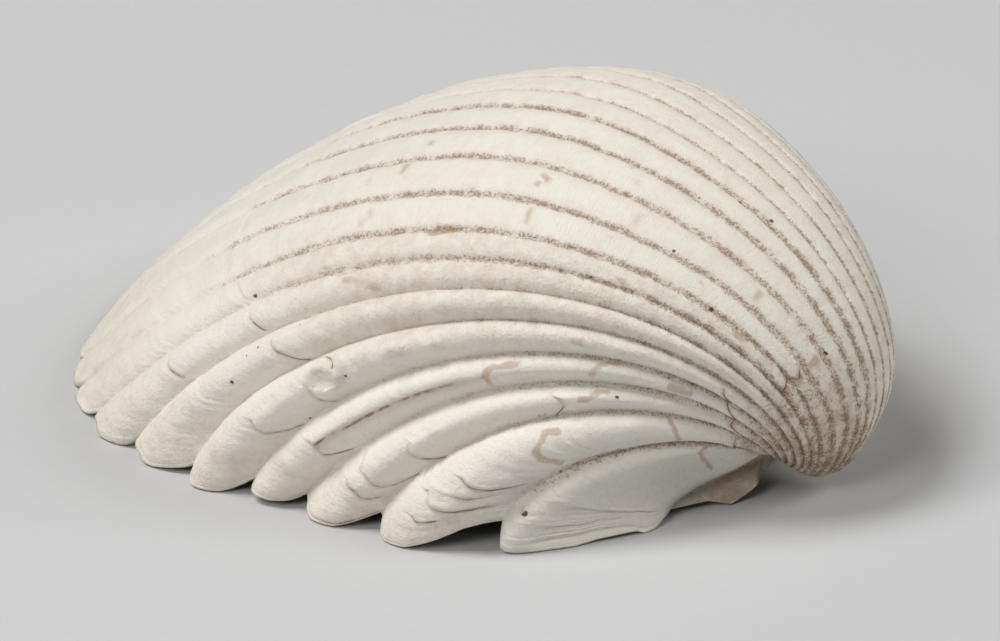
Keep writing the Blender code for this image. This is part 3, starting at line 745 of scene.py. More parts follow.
@dataclass
class Valve:
    """The whole valve: its skin in fine rows and columns, and what its finish reads from it."""

    coil: Coil
    ribs: Ribs
    margin: Margin
    origin: tuple[float, float, float] = (-30.586, 2.098, 0.0)
    rim_width: float = 1.1
    wall_width: float = 1.9
    rim_rounding: float = 3.5
    plate_width: float = 4.2
    plate_fade: float = 16.0
    flute_turn: float = 9.0
    flute_depth: float = 0.8
    hollow_turn: float = 120.0
    hollow_centre: tuple[float, float] = (-0.42, 1.5)
    teeth: tuple[tuple[float, float, float], ...] = ((0.40, 1.2, 0.09), (0.60, 1.0, 0.08))
    lip_width: float = 0.36
    lip_height: float = 0.10
    lip_by_rib: tuple[float, ...] = (0.0, 0.0, 0.55, 1.0, 0.8, 0.7, 0.45, 0.1, 0.0, 0.0)
    crease_ages: tuple[float, ...] = (9.6, 11.5, 15.0, 23.0, 50.0)
    crease_places: tuple[float, ...] = (0.50, 0.49, 0.45, 0.42, 0.40)
    lip_start: float = -82.0
    lip_offset: float = 2.0
    lip_ages: tuple[float, float] = (0.55, 1.5)
    crease_rib: int = 3
    crease_depth: float = 0.34
    crease_window: tuple[float, float, float, float] = (9.3, 10.2, 30.0, 62.0)
    crease_step: tuple[float, float] = (-0.035, 0.02)
    crease_low_side: tuple[float, float] = (0.0, 0.25)
    crease_rib_width: float = 3.6
    edge_age: float = 0.30
    row_steps: tuple[tuple[float, float], ...] = ((24.0, 0.46), (60.0, 0.9), (140.0, 2.2), (200.0, 6.0))
    beak_rows: tuple[float, ...] = (200, 206, 212, 217, 221, 225, 228, 230.5)
    rows_by_ledge: tuple[float, ...] = (-0.34, -0.12, 0.0, 0.06, 0.18, 0.40)
    row_spreads: tuple[float, ...] = (0.5, 1.0, 1.0, 1.0, 1.0, 2.0, 4.0)
    row_clearance: float = 0.45
    ledge_scales: tuple[float, ...] = (0.4, 1.0, 1.0, 1.0, 1.0, 2.5, 4.0)
    ledge_rounding: float = 1.1
    ledge_run: float = 4.0
    dip_width: float = 0.35
    dip_depth: float = 0.3
    rib_scatter: tuple[float, float] = (12.9898, 4.0)
    wave_gain: float = 1.5
    wave_fade: float = 60.0
    worn_noise: tuple[tuple[float, float, float], ...] = ((0.10, 0.16, 3.0), (0.06, 0.55, 9.0))
    scar_place: tuple[int, float, float] = (4, 0.42, 19.6)
    scar_squash: tuple[float, float, float] = (1.0, 1.0, 1.3)
    scar_rim: tuple[float, float, float] = (0.20, 1.5, 0.35)
    scar_hollow: tuple[float, float] = (0.26, 1.0)
    pit_depth: float = 0.6
    pit_flare: float = 1.1
    wear_gain: float = 0.7
    wear_angles: tuple[float, float] = (-30.0, -14.0)
    calm_share: float = 0.25
    hinge_calm: float = 0.2
    far: float = 9.0
    groove_reach: int = 30
    # The dark line of real cracks and of painted shade along the ledge steps: its far distance, its fade on
    # low steps, and the step heights where it is full.
    crack_and_step_shade_far: float = 5.0
    step_shade_fade: float = 1.2
    full_step_shade_heights: tuple[float, float] = (0.10, 0.14)
    groove_grime: float = 0.42
    groove_grime_width: float = 1.4
    groove_grime_ages: tuple[float, float] = (12.0, 40.0)
    groove_grime_angles: tuple[float, float] = (-16.0, -12.0)
    hinge_angle: float = 140.0
    plate_angles: tuple[float, ...] = (-100, -84, -70, 72, 88, 100)
    plate_shares: tuple[float, ...] = (1, 0.7, 0, 0, 0.6, 1)
    hollow_ages: tuple[float, ...] = (0.35, 1.0, 1.8, 2.8, 4.0, 5.4, 7.0, 9.0, 11.5, 14, 17, 21, 25, 30,
                                      36, 42, 48, 55, 62, 70, 78, 86, 94, 101, 107, 112, 116)
    rim_parts: tuple[float, ...] = (0.1, 0.25, 0.42, 0.58, 0.75, 0.9)
    rim_drop: float = 0.3
    rim_lift: float = 0.6
    rim_power: float = 2.5
    angle: Array = field(init=False)
    hinge: Array = field(init=False)
    start: Array = field(init=False)
    edge_height: Array = field(init=False)

    def __post_init__(self) -> None:
        """Lay out the columns and find the margin."""
        self.angle, self.hinge = self.columns()
        self.edge_height = self.margin.height(self.angle, self.hinge)
        self.start = self.margin.start_turn(self.angle, self.hinge, self.edge_height)

    def columns(self) -> tuple[Array, Array]:
        """Angle of every column, and how far the hinge columns lie along the hinge.

        Returns:
            Two numbers for each column.
        """
        first, last = self.coil.outline_angles[0], self.coil.outline_angles[-1]
        angles = list(np.linspace(first, self.ribs.grooves[0], 23)[:-1])
        for rib in range(self.ribs.count):
            steps = 28 if rib == 0 else 20 if rib < 8 else 14 if rib < 16 else 6
            even = np.arange(steps) / steps
            crowded = (1 - np.cos(np.pi * even)) / 2
            width = self.ribs.grooves[rib + 1] - self.ribs.grooves[rib]
            angles += list(self.ribs.grooves[rib] + width * (0.55 * even + 0.45 * crowded))
        angles += list(np.linspace(self.ribs.grooves[-1], last, 11))
        along_hinge = np.linspace(0, 1, 20)[1:-1]
        hinge = np.concatenate([np.zeros(len(angles)), along_hinge])
        return np.concatenate([angles, np.full(len(along_hinge), float(last))]), hinge

    def usual_ages(self) -> Array:
        """Rising ages of the outer rows, with extra rows beside each ledge.

        Returns:
            The ages.
        """
        plain = []
        start = self.edge_age
        for end, step in self.row_steps:
            plain.append(np.arange(start, end, step))
            start = end
        ages = np.concatenate(plain + [self.beak_rows])
        close = []
        for row, spread in zip(Age, self.row_spreads):
            close.append(row.value + np.array(self.rows_by_ledge) * spread)
            ages = ages[np.abs(ages - row.value) > self.row_clearance * spread]
        return np.sort(np.concatenate([ages] + close))

    def ledge_ages(self, row: Age) -> tuple[Array, Array]:
        """Where one row of ledges runs.

        Args:
            row: the row of ledges.

        Returns:
            Its age at each column, and how high the ledge stands there.
        """
        if row is Age.LIP:
            step = self.coil.bare_skin(self.angle, self.hinge, np.ones_like(self.angle))
            step = step - self.coil.bare_skin(self.angle, self.hinge, np.zeros_like(self.angle))
            age = self.lip_width / np.clip(np.linalg.norm(step, axis=-1), 0.2, None)
            places = (self.lip_start, *self.ribs.grooves[:len(self.lip_by_rib) - 1] + self.lip_offset)
            share = np.interp(self.angle, places, self.lip_by_rib)
            return np.clip(age, *self.lip_ages), self.lip_height * share * (self.hinge == 0)
        points = {-110.0: row.value, 110.0: row.value}
        height = np.zeros_like(self.angle)
        bends = []
        for ledge in LEDGES:
            if ledge.row is not row:
                continue
            angles = [self.ribs.angle_of(ledge.rib, across) for across, _ in ledge.places]
            ages = [age for _, age in ledge.places]
            points.update({angles[0]: ages[0], angles[-1]: ages[-1]})
            bends.append((angles, ages))
            width = self.ribs.angle_of(ledge.rib, 1) - self.ribs.angle_of(ledge.rib, 0)
            fade = ledge.fade * width
            inside = smoothstep(angles[0] - fade, angles[0] + fade * 0.3, self.angle)
            inside *= 1 - smoothstep(angles[-1] - fade * 0.3, angles[-1] + fade, self.angle)
            height += ledge.height * inside
        places = sorted(points)
        age = np.interp(self.angle, places, [points[place] for place in places])
        for angles, ages in bends:
            within = (self.angle >= angles[0]) & (self.angle <= angles[-1])
            age = np.where(within, smooth_curve(angles, ages, self.angle), age)
        return age, height * (self.hinge == 0)

    def ages(self) -> tuple[Array, list[tuple[Array, Array]]]:
        """Age of every outer point, so that rows follow the ledges, and the ledges themselves.

        Returns:
            The age of every point, and the ages and heights of each row of ledges by column.
        """
        usual = self.usual_ages()
        ledges = [self.ledge_ages(row) for row in Age]
        knots = np.array([0.0] + [row.value for row in Age] + [self.coil.full_turn])
        table = np.vstack([np.zeros_like(self.angle)] + [age for age, _ in ledges]
                          + [np.full_like(self.angle, self.coil.full_turn)])
        for i in range(1, len(table) - 1):
            table[i] = np.maximum(table[i], table[i - 1] + (0.5 if i == 1 else 1.2))
        ages = np.empty((len(usual), len(self.angle)))
        for column in range(len(self.angle)):
            ages[:, column] = np.interp(usual, knots, table[:, column])
        return ages, [(table[i + 1], height) for i, (_, height) in enumerate(ledges)]

    def ledge_relief(self, age: Array, ledges: list[tuple[Array, Array]]) -> Array:
        """Steps of all ledges. The proud side has a rounded edge, with a shallow dip beside it.

        Args:
            age: age of each point.
            ledges: age and height of every row of ledges at each column.

        Returns:
            Height to add at each point.
        """
        relief = np.zeros_like(age)
        for scale, (line, height) in zip(self.ledge_scales, ledges):
            into = np.where(height > 0, age - line, line - age)
            edge = np.sqrt(1 - (1 - np.clip(into / (self.ledge_rounding * scale), 0, 1))**2)
            relief += np.abs(height) * edge * np.exp(-np.clip(into, 0, None) / (self.ledge_run * scale))
            dip = np.exp(-(into / (self.dip_width * scale))**2) * (into <= 0)
            relief -= self.dip_depth * np.abs(height) * dip
        return relief

    def crease(self, angle: Array, age: Array) -> tuple[Array, Array]:
        """The long step on rib 3, whose posterior half lies lower.

        Args:
            angle: angle of each point.
            age: age of each point.

        Returns:
            How deep each point lies, and how far it is from the step.
        """
        rib, across = self.ribs.place_on_rib(angle)
        gap = across - np.interp(age, self.crease_ages, self.crease_places)
        window = soft_window(self.crease_window, age) * (rib == self.crease_rib)
        depth = self.crease_depth * window * (1 - smoothstep(*self.crease_step, gap))
        width = self.crease_rib_width * self.coil.size_at(age)
        return depth * smoothstep(*self.crease_low_side, across), np.abs(gap) * width + (1 - window) * 1.5

    def growth_waves(self, angle: Array, age: Array) -> Array:
        """Low uneven growth lines that follow the margin, a little different on every rib.

        Args:
            angle: angle of each point.
            age: age of each point.

        Returns:
            Height to add at each point.
        """
        rib, _ = self.ribs.place_on_rib(angle)
        own = np.sin(rib * self.rib_scatter[0]) * self.rib_scatter[1]
        waves = np.zeros_like(age)
        for wave in WAVES:
            wobble = wave.wobble * np.sin(age * wave.wobble_rate + wave.wobble_shift * own)
            waves += wave.height * np.sin(age * wave.rate + wobble + wave.shift * own)
        return self.wave_gain * waves * np.exp(-age / self.wave_fade)

    def near_place(self, rib: int, across: float, age: float) -> Array:
        """Point on the skin at a place on a rib, in the growth drawing.

        Args:
            rib: number of the rib.
            across: place across it, from 0 to 1.
            age: age of the place.

        Returns:
            The point, as x, y and z.
        """
        angle = np.array([self.ribs.angle_of(rib, across)])
        flat = np.zeros(1)
        start = self.margin.start_turn(angle, flat, self.margin.height(angle, flat))
        turn = age + start * (1 - age / self.coil.full_turn)
        relief = self.ribs.relief(angle, turn, np.array([age]))
        return self.coil.skin(self.ribs.bent_angle(angle, age), flat, turn, relief)[0]

    def small_forms(self, bare: Array) -> Array:
        """A healed scar, a few bumps and the worn unevenness of an old shell.

        Args:
            bare: points of the ribbed skin.

        Returns:
            Height to add at each point.
        """
        relief = np.zeros(bare.shape[:-1])
        for height, scale, seed in self.worn_noise:
            relief += height * noise_at(bare, scale, seed)
        scar = np.linalg.norm((bare - self.near_place(*self.scar_place)) * self.scar_squash, axis=-1)
        height, radius, width = self.scar_rim
        relief += height * np.exp(-((scar - radius) / width)**2)
        depth, radius = self.scar_hollow
        relief -= depth * np.exp(-(scar / radius)**2)
        for bump in BUMPS:
            gap = np.linalg.norm(bare - self.near_place(bump.rib, bump.across, bump.age), axis=-1)
            relief += bump.height * np.exp(-(gap / bump.width)**2)
        for pit in PITS:
            gap = np.linalg.norm(bare - self.near_place(pit.rib, pit.across, pit.age), axis=-1)
            relief -= self.pit_depth * pit.radius * np.exp(-(gap / (pit.radius * self.pit_flare))**2)
        return relief

    def outer_rows(self) -> tuple[Array, dict[str, Array]]:
        """Points of the outer skin from the beak to the margin, and what the finish reads there.

        Returns:
            The points, and named numbers in the shape of their rows and columns.
        """
        age, ledges = self.ages()
        angle = np.broadcast_to(self.angle, age.shape)
        hinge = np.broadcast_to(self.hinge, age.shape)
        turn = age + self.start * (1 - age / self.coil.full_turn)
        ribbed = (angle > self.ribs.grooves[0]) & (angle < self.ribs.grooves[-1]) & (hinge == 0)
        relief = np.where(ribbed, self.ribs.relief(angle, turn, age), 0)
        bent = self.ribs.bent_angle(angle, age)
        bare = self.coil.skin(bent, hinge, turn, relief)
        size = self.coil.size_at(turn)
        crown = np.where(ribbed, self.ribs.crown(angle, age), 0.4)
        relief = relief + self.ledge_relief(age, ledges) * np.clip(0.35 + crown, 0, 1)
        calm = smoothstep(self.ribs.grooves[0], self.ribs.grooves[1], angle)
        calm = self.calm_share + (1 - self.calm_share) * calm
        relief = relief + self.growth_waves(angle, age) * np.where(hinge > 0, self.hinge_calm, calm)
        wear = (1 + self.wear_gain * (1 - smoothstep(*self.wear_angles, angle))) * np.clip(size * 1.5, 0, 1)
        relief = relief + self.small_forms(bare) * wear - self.crease(angle, age)[0]
        points = self.coil.skin(bent, hinge, turn, relief)
        return points[::-1], {name: values[::-1] for name, values in
                              self.outer_fields(points, age, ledges).items()}

    def outer_fields(self, points: Array, age: Array, ledges: list[tuple[Array, Array]]) -> dict[str, Array]:
        """What the finish reads on the outer skin, for each point.

        Args:
            points: points of the outer skin.
            age: age of each point.
            ledges: age and height of every row of ledges at each column.

        Returns:
            Named numbers in the shape of the rows and columns.
        """
        groove = np.full(age.shape, self.far)
        for own_angle in self.ribs.grooves:
            column = int(np.argmin(np.abs(self.angle - own_angle)))
            side = slice(max(column - self.groove_reach, 0), column + self.groove_reach + 1)
            gap = np.linalg.norm(points[:, side] - points[:, column:column + 1], axis=-1)
            groove[:, side] = np.minimum(groove[:, side], gap)
        step = np.linalg.norm(np.gradient(points, axis=0), axis=-1)
        degree = step / np.clip(np.abs(np.gradient(age, axis=0)), 1e-3, None)
        crack_and_step_shade = np.full(age.shape, self.crack_and_step_shade_far)
        # Painted shade: a dark line along the step of each growth ledge and of the lip, fainter where the
        # step is low.
        for row, (line, height) in zip(Age, ledges):
            full = self.full_step_shade_heights[0 if row is Age.LIP else 1]
            weak = 1 - np.clip(np.abs(height) / full, 0, 1)
            weak = np.where(self.angle < self.ribs.grooves[1], 1, weak)
            crack_and_step_shade = np.minimum(crack_and_step_shade, np.abs(age - line) * degree + weak * self.step_shade_fade)
        # Painted shade: the same dark line under the crease on rib 3.
        crack_and_step_shade = np.minimum(crack_and_step_shade, self.crease(np.broadcast_to(self.angle, age.shape), age)[1])
        # The real cracks join the same dark line.
        for mark in CRACKS:
            crack_and_step_shade = np.minimum(crack_and_step_shade, self.gap_to(points, mark) + 0.03 - 0.3 * mark.half_width)
        return {"age": age, "crack_and_step_shade": crack_and_step_shade, "stain": self.mark_field(points, BARS),
                "dust": self.dust_field(groove, age), "wash": self.wash_field(groove, age),
                "angle": np.broadcast_to(np.where(self.hinge > 0, self.hinge_angle, self.angle), age.shape),
                "inside": np.zeros(age.shape)}

    def dust_field(self, groove: Array, age: Array) -> Array:
        """How much brown dust lies at each point, from its distance to the nearest groove.

        Args:
            groove: distance of each point to the nearest groove.
            age: age of each point.

        Returns:
            Strength from 0 to 1.
        """
        rib, across = self.ribs.place_on_rib(self.angle)
        nearest = rib + (across > 0.5)
        dust = np.zeros_like(age)
        first = 0
        for group in DUST_GROUPS:
            own = (nearest >= first) & (nearest <= group.last_groove) & (self.hinge == 0)
            strength = np.interp(age, group.ages, group.strengths)
            width = group.width * np.clip(self.coil.size_at(age) * 1.5, 0.55, 1)
            dust = np.where(own, strength * np.exp(-(groove / width)**3), dust)
            first = group.last_groove + 1
        return np.maximum.reduce([dust] + [patch.at(self.angle, age) for patch in DUST_PATCHES])

    def wash_field(self, groove: Array, age: Array) -> Array:
        """How much thin brown grime lies at each point: by grooves and margin, on beak and shelf.

        Args:
            groove: distance of each point to the nearest groove.
            age: age of each point.

        Returns:
            Strength from 0 to 1.
        """
        near = self.groove_grime * np.exp(-(groove / self.groove_grime_width)**2)
        near *= smoothstep(*self.groove_grime_ages, age)
        near = near * smoothstep(*self.groove_grime_angles, self.angle)
        return np.maximum.reduce([near] + [patch.at(self.angle, age) for patch in GRIME_PATCHES])

    def gap_to(self, points: Array, mark: Mark) -> Array:
        """Distance from each point to the line of a mark.

        Args:
            points: points of the outer skin.
            mark: the mark, whose line is measured to.

        Returns:
            The distances in millimetres.
        """
        corners = [self.near_place(mark.rib, across, age) for across, age in mark.places]
        nearest = np.full(points.shape[:-1], 99.0)
        for low, high in zip(corners[:-1], corners[1:]):
            run = high - low
            t = np.clip((points - low) @ run / (run @ run + 1e-9), 0, 1)
            nearest = np.minimum(nearest, np.linalg.norm(points - low - t[..., None] * run, axis=-1))
        return nearest

    def mark_field(self, points: Array, marks: tuple[Mark, ...]) -> Array:
        """Strength of the tan marks at each point, fading from the middle of each mark.

        Args:
            points: points of the outer skin.
            marks: the marks.

        Returns:
            Strength from 0 to 1.
        """
        field_values = np.zeros(points.shape[:-1])
        for mark in marks:
            near = 1 - smoothstep(0.35 * mark.half_width, 1.75 * mark.half_width, self.gap_to(points, mark))
            field_values = np.maximum(field_values, mark.strength * near)
        return field_values

    def hollow_skin(self, turn: Array, age: Array) -> Array:
        """Points of the inner skin, a wall's width in from the outer one.

        Args:
            turn: turn of each point.
            age: age of each point.

        Returns:
            A row of points.
        """
        flute = self.flute_depth * np.exp(-(age / self.flute_turn)**2)
        low, high = self.ribs.grooves[0], self.ribs.grooves[-1]
        ribbed = (self.angle > low) & (self.angle < high) & (self.hinge == 0)
        relief = np.where(ribbed, self.ribs.relief(self.angle, turn, np.zeros_like(age)), 0)
        near = self.coil.skin(self.ribs.bent_angle(self.angle, age), self.hinge, turn, relief * flute)
        reach = self.coil.outline_reach[self.coil.outline_angles.index(0)]
        centre = self.coil.place(np.full_like(self.angle, self.hollow_centre[0] * reach),
                                 np.full_like(self.angle, self.hollow_centre[1]), turn)
        inward = centre - near
        distance = np.linalg.norm(inward, axis=-1)
        rounding = 1 - np.exp(-age / self.rim_rounding)
        width = self.rim_width + (self.wall_width - self.rim_width) * rounding
        plate = np.interp(self.angle, self.plate_angles, self.plate_shares)
        width = width + (self.plate_width - self.rim_width) * plate * np.exp(-age / self.plate_fade)
        closing = np.sqrt(1 - (age / self.hollow_turn)**4)
        return centre - inward / distance[:, None] * ((distance - width) * closing)[:, None]

    def hollow_rows(self) -> list[Array]:
        """Inner rows from the rim to the top of the hollow.

        Returns:
            The rows of points.
        """
        rows = []
        for age in self.hollow_ages:
            turn = age + np.maximum(self.start, 0) * (1 - age / self.hollow_turn)
            rows.append(self.hollow_skin(turn, np.full_like(self.angle, age)))
        return rows

    def tooth_height(self) -> Array:
        """How far the hinge teeth stand down from the hinge plate at each column.

        Returns:
            The height at each column.
        """
        height = np.zeros_like(self.angle)
        for place, tall, half_width in self.teeth:
            height += tall * np.clip(1 - ((self.hinge - place) / half_width)**2, 0, 1)
        return np.where(self.angle >= self.coil.outline_angles[-1], height, 0)

    def rim_rows(self, edge: Array, inner: Array) -> list[Array]:
        """Rows that round the rim over from the outer skin to the hollow.

        Args:
            edge: last row of the outer skin.
            inner: first row of the hollow.

        Returns:
            The rows, with the inner one last.
        """
        inner = inner.copy()
        lift = edge[:, 2] - self.edge_height
        inner[:, 2] = np.maximum(self.edge_height + np.minimum(lift, self.rim_drop), 0.0)
        rows = []
        for part in self.rim_parts:
            row = edge + (inner - edge) * part
            row[:, 2] = self.edge_height + np.clip(lift, 0, self.rim_lift) * abs(2 * part - 1)**self.rim_power
            row[:, 2] -= self.tooth_height() * math.sin(math.pi * part)
            rows.append(row)
        return rows + [inner]

    def grid(self) -> tuple[Array, dict[str, Array]]:
        """All rings of points from the tip of the beak to the top of the hollow.

        Returns:
            The points by ring and column, and named numbers in the same shape.
        """
        outer, fields = self.outer_rows()
        inner_edge = self.hollow_skin(self.start, np.zeros_like(self.angle))
        rim = self.rim_rows(outer[-1], inner_edge)
        hollow = self.hollow_rows()
        count = len(self.angle)
        tip = self.coil.place(0.0, 0.0, self.coil.full_turn)
        reach = self.coil.outline_reach[self.coil.outline_angles.index(0)]
        top = self.coil.place(self.hollow_centre[0] * reach, self.hollow_centre[1], self.hollow_turn)
        points = np.concatenate([np.tile(tip, (1, count, 1)), outer, np.array(rim), np.array(hollow),
                                 np.tile(top, (1, count, 1))])
        inner_age = np.concatenate([np.zeros(len(rim)), self.hollow_ages, [self.hollow_turn]])
        inside = np.concatenate([np.linspace(0.1, 0.9, len(rim)), np.ones(len(hollow) + 1)])
        tails = {"age": inner_age[:, None], "inside": inside[:, None], "angle": fields["angle"][-1:],
                 "crack_and_step_shade": self.crack_and_step_shade_far}
        whole = {}
        for name, values in fields.items():
            tail = np.broadcast_to(tails.get(name, 0.0), (len(inner_age), count))
            whole[name] = np.concatenate([values[:1], values, tail])
        return points, whole

    def fitted(self, points: Array) -> Array:
        """Stand the points on the CAD frame, in millimetres, and keep them within its box.

        Args:
            points: points in the growth drawing.

        Returns:
            The fitted points.
        """
        points = points - np.array(self.origin)
        low, high = (np.array(corner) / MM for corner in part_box("valve"))
        flat = points.reshape(-1, 3)
        own_low, own_high = flat.min(axis=0), flat.max(axis=0)
        LOG.info("skin before fitting %s to %s, CAD %s to %s", own_low.round(3), own_high.round(3),
                 low.round(3), high.round(3))
        new_low = np.maximum(own_low, low)
        new_high = np.minimum(own_high, high)
        share = (points - own_low) / (own_high - own_low)
        return new_low + share * (new_high - new_low)

    def build(self) -> bpy.types.Object:
        """Make the valve's mesh from a grid that is wrapped over the rings.

        Returns:
            The valve's object, with its fields as attributes.
        """
        points, fields = self.grid()
        points = self.fitted(points)
        ring_count, column_count = points.shape[:2]
        mesh = bmesh.new()
        layers = {name: mesh.verts.layers.float.new(name) for name in fields}
        bmesh.ops.create_grid(mesh, x_segments=column_count, y_segments=ring_count - 1, size=1.0)
        for vertex in mesh.verts:
            column = round((vertex.co.x + 1) / 2 * column_count) % column_count
            ring = round((vertex.co.y + 1) / 2 * (ring_count - 1))
            vertex.co = points[ring, column] * MM
            for name, layer in layers.items():
                vertex[layer] = fields[name][ring, column]
        bmesh.ops.remove_doubles(mesh, verts=mesh.verts, dist=1e-8)
        bmesh.ops.recalc_face_normals(mesh, faces=mesh.faces)
        data = bpy.data.meshes.new("valve_skin")
        mesh.to_mesh(data)
        mesh.free()
        data.shade_smooth()
        valve = bpy.data.objects.new("valve_skin", data)
        bpy.context.scene.collection.objects.link(valve)
        LOG.info("valve_skin has %d faces", len(data.polygons))
        return valve

    def place_on_skin(self, rib: int, across: float, age: float) -> Vector:
        """Place of a mark or a boring on the finished skin, in millimetres."""
        point = self.near_place(rib, across, age) - np.array(self.origin)
        return Vector([float(value) for value in point])


class Sum:
    """A socket of a material, with the operators that shader maths needs."""

    def __init__(self, finish: "NodeMaker", socket: bpy.types.NodeSocket) -> None:
        """Keep the socket and the maker of its nodes."""
        self.finish = finish
        self.socket = socket

    def _math(self, operation: str, *values: "Sum | float") -> "Sum":
        """Add one Math node."""
        return self.finish.node("ShaderNodeMath", {"operation": operation}, dict(enumerate(values)))

    def __add__(self, other: "Sum | float") -> "Sum":
        """Add."""
        return self._math("ADD", self, other)

    __radd__ = __add__

    def __sub__(self, other: "Sum | float") -> "Sum":
        """Subtract."""
        return self._math("SUBTRACT", self, other)

    def __rsub__(self, other: "Sum | float") -> "Sum":
        """Subtract from a number."""
        return self._math("SUBTRACT", other, self)

    def __mul__(self, other: "Sum | float") -> "Sum":
        """Multiply."""
        return self._math("MULTIPLY", self, other)

    __rmul__ = __mul__

    def __truediv__(self, other: "Sum | float") -> "Sum":
        """Divide."""
        return self._math("DIVIDE", self, other)

    def __rtruediv__(self, other: "Sum | float") -> "Sum":
        """Divide a number."""
        return self._math("DIVIDE", other, self)

    def least(self, other: "Sum | float") -> "Sum":
        """The smaller of two."""
        return self._math("MINIMUM", self, other)

    def most(self, other: "Sum | float") -> "Sum":
        """The larger of two."""
        return self._math("MAXIMUM", self, other)

    def sine(self) -> "Sum":
        """Sine of radians."""
        return self._math("SINE", self)

    def ease(self, low: float, high: float) -> "Sum":
        """Ease from 0 to 1. The low end may be the larger of the two.

        Args:
            low: value where the result is 0.
            high: value where the result is 1.

        Returns:
            The eased socket.
        """
        if low > high:
            return 1 - self.ease(high, low)
        return self.finish.node("ShaderNodeMapRange", {"interpolation_type": "SMOOTHSTEP"},
                                {0: self, 1: low, 2: high, 3: 0.0, 4: 1.0})

    def shown(self, ramp: "Ramp") -> "Sum":
        """Ease along a ramp, up to the ramp's strength."""
        eased = self.ease(ramp.low, ramp.high)
        return eased if ramp.strength == 1.0 else eased * ramp.strength


class NodeMaker:
    """Makes the nodes of one material."""

    def __init__(self, name: str) -> None:
        """Start a material with only its output and its shader.

        Args:
            name: the material's name.
        """
        self.material = bpy.data.materials.new(name)
        self.material.use_nodes = True
        self.tree = self.material.node_tree
        self.shader = self.tree.nodes["Principled BSDF"]

    def node(self, kind: str, settings: dict | None = None, inputs: dict | None = None,
             output: int | str = 0) -> Sum:
        """Add a node.

        Args:
            kind: the node's type.
            settings: its settings, which are made first.
            inputs: the value or link of each socket, by name or number.
            output: name or number of the socket to return.

        Returns:
            The wanted output.
        """
        made = self.tree.nodes.new(kind)
        for key, value in (settings or {}).items():
            setattr(made, key, value)
        for key, value in (inputs or {}).items():
            self.set(made.inputs[key], value)
        return Sum(self, made.outputs[output])

    def set(self, socket: bpy.types.NodeSocket, value: object) -> None:
        """Give a socket a link or a value.

        Args:
            socket: the socket.
            value: a value, or the socket to link from.
        """
        if isinstance(value, Sum):
            self.tree.links.new(value.socket, socket)
        elif isinstance(value, tuple) and len(value) == 3 and socket.type == "RGBA":
            socket.default_value = (*value, 1.0)
        else:
            socket.default_value = value

    def vector(self, operation: str, inputs: dict, output: int | str = 0) -> Sum:
        """Add one Vector Math node."""
        return self.node("ShaderNodeVectorMath", {"operation": operation}, inputs, output)

    def attribute(self, name: str) -> Sum:
        """Read a named number of the mesh."""
        return self.node("ShaderNodeAttribute", {"attribute_name": name}, output="Fac")

    def noise(self, place: Sum, kind: "Noise", output: str = "Fac") -> Sum:
        """Add a noise around NOISE_MEAN.

        Args:
            place: where it is read.
            kind: its scale, detail and roughness.
            output: Fac, or Color for three of them.

        Returns:
            The noise.
        """
        return self.node("ShaderNodeTexNoise", {"noise_dimensions": "3D"},
                         {"Vector": place, "Scale": kind.scale, "Detail": kind.detail,
                          "Roughness": kind.roughness}, output)

    def mix(self, amount: "Sum | float", low: "Sum | Colour", high: "Sum | Colour") -> Sum:
        """Mix two colours."""
        return self.node("ShaderNodeMix", {"data_type": "RGBA", "clamp_factor": True},
                         {0: amount, 6: low, 7: high}, output=2)


@dataclass(frozen=True)
class Noise:
    """A noise: waves per unit of its place, and its detail and roughness."""

    scale: float
    detail: float = 2.0
    roughness: float = 0.5


@dataclass(frozen=True)
class Ramp:
    """Values where something starts and is fully shown, and how strong it is there."""

    low: float
    high: float
    strength: float = 1.0


@dataclass(frozen=True)
class GrowthLines:
    """Fine lines along the age: radians per unit of age, their shift by noise and their share."""

    rate: float
    shift: float
    share: float

    def wave(self, age: Sum, noise: Sum) -> Sum:
        """The lines as a wave around 0."""
        return (age * self.rate + noise * self.shift).sine() * self.share


class SkinReadings:
    """What the shell's finish reads at each point: its place, its fields and noises of many sizes."""

    SOFT = Noise(0.22, 3.0)
    PATCHY = Noise(0.9, 3.0, 0.6)
    MIDDLE = Noise(2.3, 3.0, 0.6)
    FINE = Noise(4.6, 2.0, 0.65)
    FINER = Noise(9.0, 1.0)
    STREAK = Noise(1.0, 3.0, 0.65)
    STREAK_STRETCH = (1.1, 0.25)
    OUTSIDE = Ramp(0.45, 0.15)

    def __init__(self, maker: NodeMaker) -> None:
        """Add the nodes that read the skin.

        Args:
            maker: maker of the nodes.
        """
        metres = maker.node("ShaderNodeTexCoord", output="Object")
        self.place = maker.vector("SCALE", {0: metres, "Scale": 1.0 / MM})
        self.age, self.angle = maker.attribute("age"), maker.attribute("angle")
        self.dust, self.wash = maker.attribute("dust"), maker.attribute("wash")
        self.crack_and_step_shade, self.stain = maker.attribute("crack_and_step_shade"), maker.attribute("stain")
        self.inside = maker.attribute("inside")
        self.outside = self.inside.shown(self.OUTSIDE)
        self.soft = maker.noise(self.place, self.SOFT)
        self.patchy = maker.noise(self.place, self.PATCHY)
        self.uneven = self.patchy - NOISE_MEAN
        self.middle = maker.noise(self.place, self.MIDDLE)
        self.fine = maker.noise(self.place, self.FINE)
        self.finer = maker.noise(self.place, self.FINER)
        age_share, angle_share = self.STREAK_STRETCH
        stretched = maker.node("ShaderNodeCombineXYZ",
                               inputs={0: self.age * age_share, 1: self.angle * angle_share, 2: 0.0})
        self.streak = maker.noise(stretched, self.STREAK)


